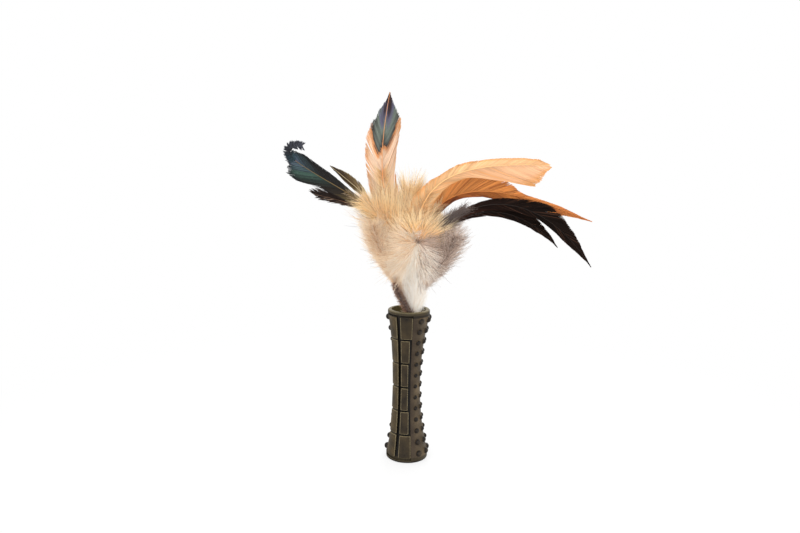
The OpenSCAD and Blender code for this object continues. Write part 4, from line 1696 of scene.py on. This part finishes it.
class Studio:
    """Camera, floor, backdrop and soft lamps."""

    EYE = Vector((-6.2, -455.1, 201.5)) * MM
    PITCH = math.radians(9.23)
    ROLL = math.radians(0.83)
    FOCAL_PIXELS = 720
    PHOTO_WIDTH = 800
    SENSOR = 36.0
    FLOOR_HALF = 6.0
    AIM = Vector((0.02, 0, 0.12))
    LAMPS = [("key", (-0.6, -1.5, 1.0), 2.0, 20.0), ("fill", (1.2, -1.3, 0.6), 1.8, 10.0),
             ("top", (0.1, 0.5, 1.7), 1.4, 12.0), ("back", (0.4, 1.5, 0.8), 1.2, 8.0)]

    def build(self) -> None:
        """Builds everything that isn't part of the object."""
        self.camera()
        self.floor()
        self.lamps()
        self.world()

    def camera(self) -> None:
        """Camera at the photograph's viewpoint, with no shift and no depth of field."""
        data = bpy.data.cameras.new("photo_camera")
        data.sensor_width = self.SENSOR
        data.lens = self.FOCAL_PIXELS / self.PHOTO_WIDTH * self.SENSOR
        data.clip_start = 0.01
        camera = bpy.data.objects.new("photo_camera", data)
        ahead = Vector((0, math.cos(self.PITCH), -math.sin(self.PITCH)))
        level = Vector((1, 0, 0))
        high = Vector((0, math.sin(self.PITCH), math.cos(self.PITCH)))
        right = level * math.cos(self.ROLL) + high * math.sin(self.ROLL)
        up = high * math.cos(self.ROLL) - level * math.sin(self.ROLL)
        turn = Matrix((right, up, -ahead)).transposed().to_4x4()
        camera.matrix_world = Matrix.Translation(self.EYE) @ turn
        bpy.context.scene.collection.objects.link(camera)
        bpy.context.scene.camera = camera

    def floor(self) -> None:
        """Plain white floor that shows white to the camera and keeps the object's shadow."""
        half = self.FLOOR_HALF
        corners = [(-half, -half, 0), (half, -half, 0), (half, half, 0), (-half, half, 0)]
        mesh = bpy.data.meshes.new("studio_floor")
        mesh.from_pydata(corners, [], [(0, 1, 2, 3)])
        floor = bpy.data.objects.new("studio_floor", mesh)
        bpy.context.scene.collection.objects.link(floor)
        surface = Surface("Studio floor", Roughness=0.9, Specular_IOR_Level=0.1)
        surface.shader.inputs["Base Color"].default_value = (0.8, 0.8, 0.8, 1)
        seen = surface.seen()
        glow = surface.add("ShaderNodeEmission", {"Color": (1, 1, 1, 1), "Strength": 1.0})
        away = surface.add("ShaderNodeVectorMath", {0: surface.place()}, operation="LENGTH").outputs["Value"]
        share = surface.times(seen, surface.lerp(surface.step(away, 0.05, 0.35), 0.72, 1.0))
        shaders = {0: share, 1: surface.shader.outputs[0], 2: glow.outputs[0]}
        both = surface.add("ShaderNodeMixShader", shaders).outputs[0]
        surface.tree.links.new(both, surface.tree.nodes["Material Output"].inputs["Surface"])
        mesh.materials.append(surface.material)

    def lamps(self) -> None:
        """A broad key from the upper left, a fill from the right and a soft top lamp."""
        for name, place, size, power in self.LAMPS:
            data = bpy.data.lights.new(f"{name}_lamp", "AREA")
            data.size = size
            data.energy = power
            lamp = bpy.data.objects.new(f"{name}_lamp", data)
            lamp.location = place
            lamp.rotation_euler = (self.AIM - lamp.location).to_track_quat("-Z", "Y").to_euler()
            bpy.context.scene.collection.objects.link(lamp)

    def world(self) -> None:
        """Soft even light from all round, and a white backdrop."""
        world = bpy.data.worlds.new("studio_world")
        world.use_nodes = True
        kit = Kit(world.node_tree)
        shell = world.node_tree.nodes["Background"]
        shell.inputs["Color"].default_value = (1, 1, 1, 1)
        kit.tree.links.new(kit.lerp(kit.seen(), 0.85, 1.0), shell.inputs["Strength"])
        bpy.context.scene.world = world
        bpy.context.scene.view_settings.view_transform = "Standard"


CREAM_DOWN = DownFinish(
    "Cream down", [(0.0, 0xEED6B6), (0.5, 0xFAF0E0), (1.0, 0xFEF8EE)], 0xD6B68E, 0.1, 0.3, 0.85, tufts=0.2)
WHITE_DOWN = DownFinish(
    "White down", [(0.0, 0xFCF2E4), (1.0, 0xFFFCF6)], 0xE2CAAC, 0.08, 0.2, 0.95, tufts=0.1)
PEACH_DOWN = DownFinish(
    "Peach down", [(0.0, 0xE2B47E), (0.5, 0xF0D0A8), (1.0, 0xF8E6CC)], 0xBC8C5E, 0.12, 0.34, 0.88,
    tufts=0.2)
MAUVE_DOWN = DownFinish(
    "Mauve grey down", [(0.0, 0xA47C62), (0.4, 0xD0B29C), (0.8, 0xE2CCBA), (1.0, 0xB69882)], 0x684836, 0.2,
    0.4, 0.85, tufts=0.24)
GOLD_DOWN = DownFinish(
    "Golden down", [(0.0, 0xE4A25C), (0.5, 0xFCD08E), (1.0, 0xFFEABE)], 0x885632, 0.12, 0.35, 0.85,
    tufts=0.2)
WISP_DOWN = DownFinish(
    "Brown tipped wisps", [(0.0, 0xE0BC92), (0.55, 0xC49C78), (1.0, 0x5C3E2E)], 0x462E24, 0.3, 0.4, 0.85)
SPOT_DOWN = DownFinish(
    "Brown down about the plume's shaft", [(0.0, 0x604230), (0.5, 0x966C4A), (1.0, 0xCEA478)], 0x54382A,
    0.3)
KHAKI_DOWN = DownFinish("Khaki down", [(0.0, 0x967650), (1.0, 0xE8CAA0)], 0x604830, 0.16, 0.35, 0.8)
DARK_DOWN = DownFinish("Dark down", [(0.0, 0x281914), (1.0, 0x5E4234)], 0x32211A, 0.16, 0.4, 0.8)
BROWN_PILE = DownFinish(
    "Brown pile", [(0.0, 0x42241A), (0.6, 0x704634), (1.0, 0x9C7056)], 0xB69274, 0.15, 0.6, 0.7)

PEACOCK = VaneFinish(
    "Peach feather with a teal eye", [(0.3, 0xE0B280), (0.5, 0xEECAA6), (0.75, 0xF2D0B2), (1.0, 0xE0AC80)],
    0xE6AC78, 0.65, 0xB8805A, 0.14, spread=0.45,
    eye=Eye(0.795, 0.035, 0.05, 0.02,
            [(0.0, 0x2C282A), (0.15, 0x5C605A), (0.35, 0x747E74), (0.55, 0x605E72), (0.72, 0x30262A),
             (0.86, 0x3A241E), (1.0, 0x724832)],
            0xCC8C5C))
# Teal, blue-grey and violet towards the tip: partly the vane's own colour, partly painted sheen for its
# iridescence
GREEN = VaneFinish(
    "Iridescent teal feather",
    [(0.55, 0x584A2E), (0.7, 0x1A130E), (0.85, 0x100E0D), (0.92, 0x2A3A3E), (0.97, 0x3E505E),
     (1.0, 0x565672)],
    0x1C1D21, 0.7, 0x121112, 0.25, 0.36,
    other=[(0.55, 0x6E5C3A), (0.7, 0x241C14), (0.8, 0x1E211D), (0.87, 0x405A50), (0.94, 0x4E626C),
           (1.0, 0x6C6484)])
OLIVE = VaneFinish(
    "Olive brown feather", [(0.6, 0xBEA478), (0.78, 0x624E32), (0.9, 0x36281B), (1.0, 0x281E16)], 0xA08A62,
    0.8, 0x36281C, 0.3)
DARK = VaneFinish(
    "Dark brown feather", [(0.6, 0x604636), (0.8, 0x2C1F1A), (1.0, 0x1E1613)], 0x544238, 0.8, 0x8C7666,
    0.08, sheen=0.0)
PALE = VaneFinish(
    "Pale apricot feather", [(0.3, 0xFACE94), (0.5, 0xEEB882), (0.75, 0xF0B88A), (1.0, 0xF4C096)], 0xECAC6A,
    0.65, 0xE2A064, 0.1, spread=0.34,
    other=[(0.3, 0xFACA8C), (0.5, 0xF0BC86), (0.75, 0xF4C290), (1.0, 0xF2BA86)])
RUST = VaneFinish(
    "Rust feather", [(0.3, 0x703C22), (0.5, 0xB06230), (0.75, 0xE28C46), (1.0, 0xBE6C36)], 0xEA9E5A, 0.7,
    0x804222, 0.22, spread=0.5, other=[(0.2, 0xEAB474), (0.45, 0xDE904C), (0.7, 0xF09E54), (1.0, 0xC8723A)])
BLACK = VaneFinish(
    "Black feather", [(0.3, 0x4A2E24), (0.5, 0x1E120E), (0.75, 0x140D0A), (1.0, 0x1A100C)], 0x2A1C15, 0.75,
    0x402A20, 0.1, 0.55, 0.4, sheen=0.0, gloss=0.04)

FEATHERS = [
    Feather("upright_feather", Route((0, 0), (-14, 7, 137), (0.51, 2.11, 0.76, 0.37)),
            Vane([(0.3, 0), (0.45, 9), (0.7, 12.5), (0.85, 13.4), (0.9, 13.2), (0.95, 11.6), (0.98, 6.5),
                  (1.0, 0.3)],
                 [(0.3, 0), (0.45, 7), (0.7, 8.4), (0.8, 9.4), (0.87, 9.6), (0.92, 8), (0.96, 5),
                  (1.0, 0.2)],
                 split=0.22),
            PEACOCK, 0xDE9660, Down(0.12, 0.74, 19, 2600), GOLD_DOWN, "feather_peach"),
    Feather("iridescent_feather", Route((-1, 0), (-72.7, -9, 94.8), (0.71, 0.47, 0.72, 0.71)),
            Vane([(0.55, 0), (0.65, 1.8), (0.8, 4.9), (0.95, 6.7), (1.0, 5), (1.04, 0)],
                 [(0.55, 0), (0.65, 5.5), (0.8, 6), (0.9, 9.8), (0.97, 8.6), (1.0, 4), (1.03, 0)],
                 split=0.22, ragged=0.03),
            GREEN, 0x78623C, Down(0.42, 0.7, 8, 420), KHAKI_DOWN, "feather_green"),
    Feather("olive_feather", Route((-0.5, 0.866), (-51.7, 9, 90.5), (0.61, 0.56, 0.89, 0.8)),
            Vane([(0.6, 0), (0.75, 3.6), (0.85, 3.5), (0.95, 1.2), (1.0, 0)],
                 [(0.6, 0), (0.75, 2.4), (0.85, 1.8), (0.95, 0.8), (1.0, 0)]),
            OLIVE, 0xC4B088, None, CREAM_DOWN, "feather_olive"),
    Feather("dark_left_feather", Route((-2, 0), (-61.5, -1.5, 73.4), (0.88, 0.49, 1.11, 0.89)),
            Vane([(0.55, 0), (0.7, 5), (0.9, 7), (1.0, 3), (1.03, 0)],
                 [(0.6, 0), (0.8, 3.2), (0.95, 3), (1.0, 0)], slant=1.8, split=0.9, groups=50, ragged=0.5,
                 loose=0.1, wave=1.2),
            DARK, 0x5A4232, None, DARK_DOWN, "feather_brown"),
    Feather("pale_feather", Route((0.5, -0.866), (83.1, -15, 93.2), (0.78, 0.03, 1.1, 1.03)),
            Vane([(0.26, 0), (0.36, 8), (0.5, 8), (0.7, 5.6), (0.77, 9), (0.84, 15), (0.9, 19), (0.95, 18),
                  (0.99, 11), (1.015, 0)],
                 [(0.2, 0), (0.3, 7), (0.42, 6.6), (0.5, 5), (0.6, 3.6), (0.7, 4.6), (0.8, 4), (0.93, 4),
                  (0.98, 3.4), (1.01, 0)],
                 slant=1.45, split=0.16, wave=0.4),
            PALE, 0xF0BE84, Down(0.12, 0.5, 17, 1600), GOLD_DOWN, "feather_pale"),
    Feather("rust_feather", Route((0.5, 0.866), (118, 11, 57), (1.49, 0.3, 1.29, 1.57)),
            Vane([(0.26, 0), (0.34, 11), (0.42, 13.5), (0.5, 12), (0.6, 9), (0.75, 6.6), (0.9, 4.5),
                  (1.0, 0.2)],
                 [(0.2, 0), (0.32, 9), (0.45, 9), (0.6, 8.9), (0.7, 6.9), (0.8, 1.8), (0.9, 1.7), (1.0, 0)],
                 slant=2.2, split=0.2, ragged=0.03, wave=0.4),
            RUST, 0xC4783C, Down(0.12, 0.42, 13, 1000), GOLD_DOWN, "feather_rust"),
    Feather("black_upper_feather", Route((1, 0), (113.6, -9, 30.4), (2.12, 0.57, 1.35, 3.32)),
            Vane([(0.34, 0), (0.45, 6), (0.6, 9.9), (0.68, 10), (0.75, 3.8), (0.9, 4.8), (1.0, 0)],
                 [(0.34, 0), (0.5, 2.2), (0.65, 3.4), (0.8, 6.2), (0.9, 3.8), (1.0, 0)], slant=2.4,
                 split=0.35, ragged=0.03, wave=0.4),
            BLACK, 0x1A120E, Down(0.22, 0.5, 7, 500), DARK_DOWN, "feather_black"),
    Feather("black_lower_feather", Route((2, 0), (94.3, 1.5, 41.1), (1.51, 0.6, 1.19, 2.04)),
            Vane([(0.36, 0), (0.6, 5), (0.75, 6.9), (0.85, 3.5), (1.0, 0)],
                 [(0.36, 0), (0.6, 3), (0.85, 3.7), (0.95, 1.7), (1.0, 0)], slant=2.4, split=0.4,
                 ragged=0.03, wave=0.4),
            BLACK, 0x1A120E, Down(0.3, 0.6, 5, 250), DARK_DOWN, "feather_black"),
]

PLUMES = [
    Plume("front_plume", PlumeSize((0, -1.732), -90, 24, 54, 11.0), CREAM_DOWN, "down_cream"),
    Plume("front_left_plume", PlumeSize((-1.5, -0.866), -140, 31, 58, 15.0), PEACH_DOWN, "down_cream"),
    Plume("front_right_plume", PlumeSize((1.5, -0.866), -40, 36, 52, 14.0), MAUVE_DOWN, "down_grey"),
    Plume("back_plume", PlumeSize((0, 1.732), 90, 24, 62), GOLD_DOWN, "down_cream"),
    Plume("back_left_plume", PlumeSize((-1.5, 0.866), 140, 29, 60), CREAM_DOWN, "down_cream"),
    Plume("back_right_plume", PlumeSize((1.5, 0.866), 40, 34, 58), MAUVE_DOWN, "down_grey"),
]


FRONT_CURVE = Bezier(((3.0, -12.0, 37.0), (3.8, -17.0, 42.0), (4.3, -21.0, 45.0), (4.6, -24.0, 47.0)))
LEFT_CURVE = Bezier(((-2.0, -4.0, 26.0), (-6.0, -6.0, 38.0), (-12.0, -8.0, 48.0), (-18.0, -8.0, 54.0)))
ROOT_CURVE = Bezier(((-5.0, -5.0, 44.0), (-12.0, -8.0, 54.0), (-19.0, -9.0, 61.0), (-27.0, -9.0, 67.0)))
CROWN_CURVE = Bezier(((0.0, 1.0, 42.0), (-0.5, 3.5, 50.0), (-0.5, 5.0, 59.0), (0.0, 5.0, 67.0)))
DARK_CURVE = Bezier(((9.0, -12.0, 47.0), (16.0, -12.0, 53.0), (23.0, -10.0, 59.0), (31.0, -8.5, 64.0)))
SPOT_CURVE = Bezier(((4.5, -22.5, 45.5), (4.6, -23.6, 46.0), (4.7, -24.8, 46.4), (4.8, -26.0, 46.8)))
NECK_CURVE = Bezier(((2.0, 0.5, -14.0), (2.4, -0.5, -4.0), (3.0, -2.5, 6.0), (3.4, -5.0, 18.0)))
LOCKS = [
    Lock("front_plume_left_fan", "front_plume", "down_cream", FRONT_CURVE, -2, 60, (33, 17), (0.0, 0.2),
         PEACH_DOWN, 2200),
    Lock("front_plume_low_fan", "front_plume", "down_cream", FRONT_CURVE, -80, 62, (28, 14), (0.0, 0.1),
         CREAM_DOWN, 2200),
    Lock("front_plume_right_fan", "front_plume", "down_cream", FRONT_CURVE, 205, 62, (25, 13), (0.0, 0.3),
         MAUVE_DOWN, 1900),
    Lock("front_plume_top_fan", "front_plume", "down_cream", FRONT_CURVE, 100, 66, (33, 18), (0.1, 0.4),
         GOLD_DOWN, 2200),
    Lock("front_left_plume_top_fan", "front_left_plume", "down_cream", LEFT_CURVE, 70, 60, (24, 22),
         (1.3, 1.0), GOLD_DOWN, 1800),
    Lock("front_left_plume_side_fan", "front_left_plume", "down_cream", LEFT_CURVE, 10, 60, (16, 18),
         (1.2, 1.2), PEACH_DOWN, 1300),
    Lock("upright_feather_crown", "upright_feather", "feather_peach", CROWN_CURVE, 0, 180, (10, 10),
         (2.2, 2.2), GOLD_DOWN, 2600),
    Lock("iridescent_feather_root", "iridescent_feather", "feather_green", ROOT_CURVE, 0, 180, (10, 8),
         (1.8, 1.5), GOLD_DOWN, 1500),
    Lock("front_left_plume_wisps", "front_left_plume", "down_cream", LEFT_CURVE, 5, 50, (26, 22),
         (0.4, 0.6), WISP_DOWN, 150),
    Lock("front_right_plume_wisps", "front_right_plume", "down_grey", FRONT_CURVE, 200, 75, (32, 22),
         (0.0, 0.2), WISP_DOWN, 170),
    Lock("black_upper_feather_root", "black_upper_feather", "feather_black", DARK_CURVE, 0, 180, (4.5, 3.5),
         (2.4, 2.6), DARK_DOWN, 800),
    Lock("front_plume_spot", "front_plume", "down_cream", SPOT_CURVE, 0, 180, (5, 4), (0.0, 0.3), SPOT_DOWN,
         110),
    Lock("front_plume_streak", "front_plume", "down_cream", SPOT_CURVE, -88, 3, (15, 13), (0.0, 0.0),
         SPOT_DOWN, 26),
    Lock("front_plume_neck", "front_plume", "down_cream", NECK_CURVE, 0, 180, (8, 16), (2.4, 1.2),
         WHITE_DOWN, 2600, Vector((0, -1, 0))),
]
IRIDESCENT_CURL = Curl(
    "iridescent_feather_curl", "iridescent_feather", "feather_green",
    Bezier(((-71.5, -9.0, 94.0), (-79.0, -9.5, 100.0), (-74.5, -10.0, 105.0), (-67.0, -10.0, 103.0))), 4.4,
    VaneFinish("Curled dark barbs", [(0.0, 0x283E46), (0.3, 0x222228), (1.0, 0x42444E)], 0x464A54, 0.7,
               0x181618, 0.2, 0.4))


def main() -> None:
    """Builds the whole scene, one sub-assembly after another."""
    trees = Trees(StrandTree("Flat strands", Profile.FLAT), StrandTree("Round strands", Profile.ROUND),
                  TubeTree("Tube"), DomeTree("Nubs"), strand_shade(), moulded_mottle())
    Studio().build()
    Hardware(trees).dress()
    extras = (*LOCKS, IRIDESCENT_CURL)
    for first_seed, parts in ((FEATHER_SEED, FEATHERS), (PLUME_SEED, PLUMES), (LOCK_SEED, extras)):
        for number, part in enumerate(parts):
            part.build(trees, first_seed + SEED_STEP * number)
    Stem("chenille_pile", BROWN_PILE, "pile").build(trees, STEM_SEED)


if __name__ == "__main__":
    main()
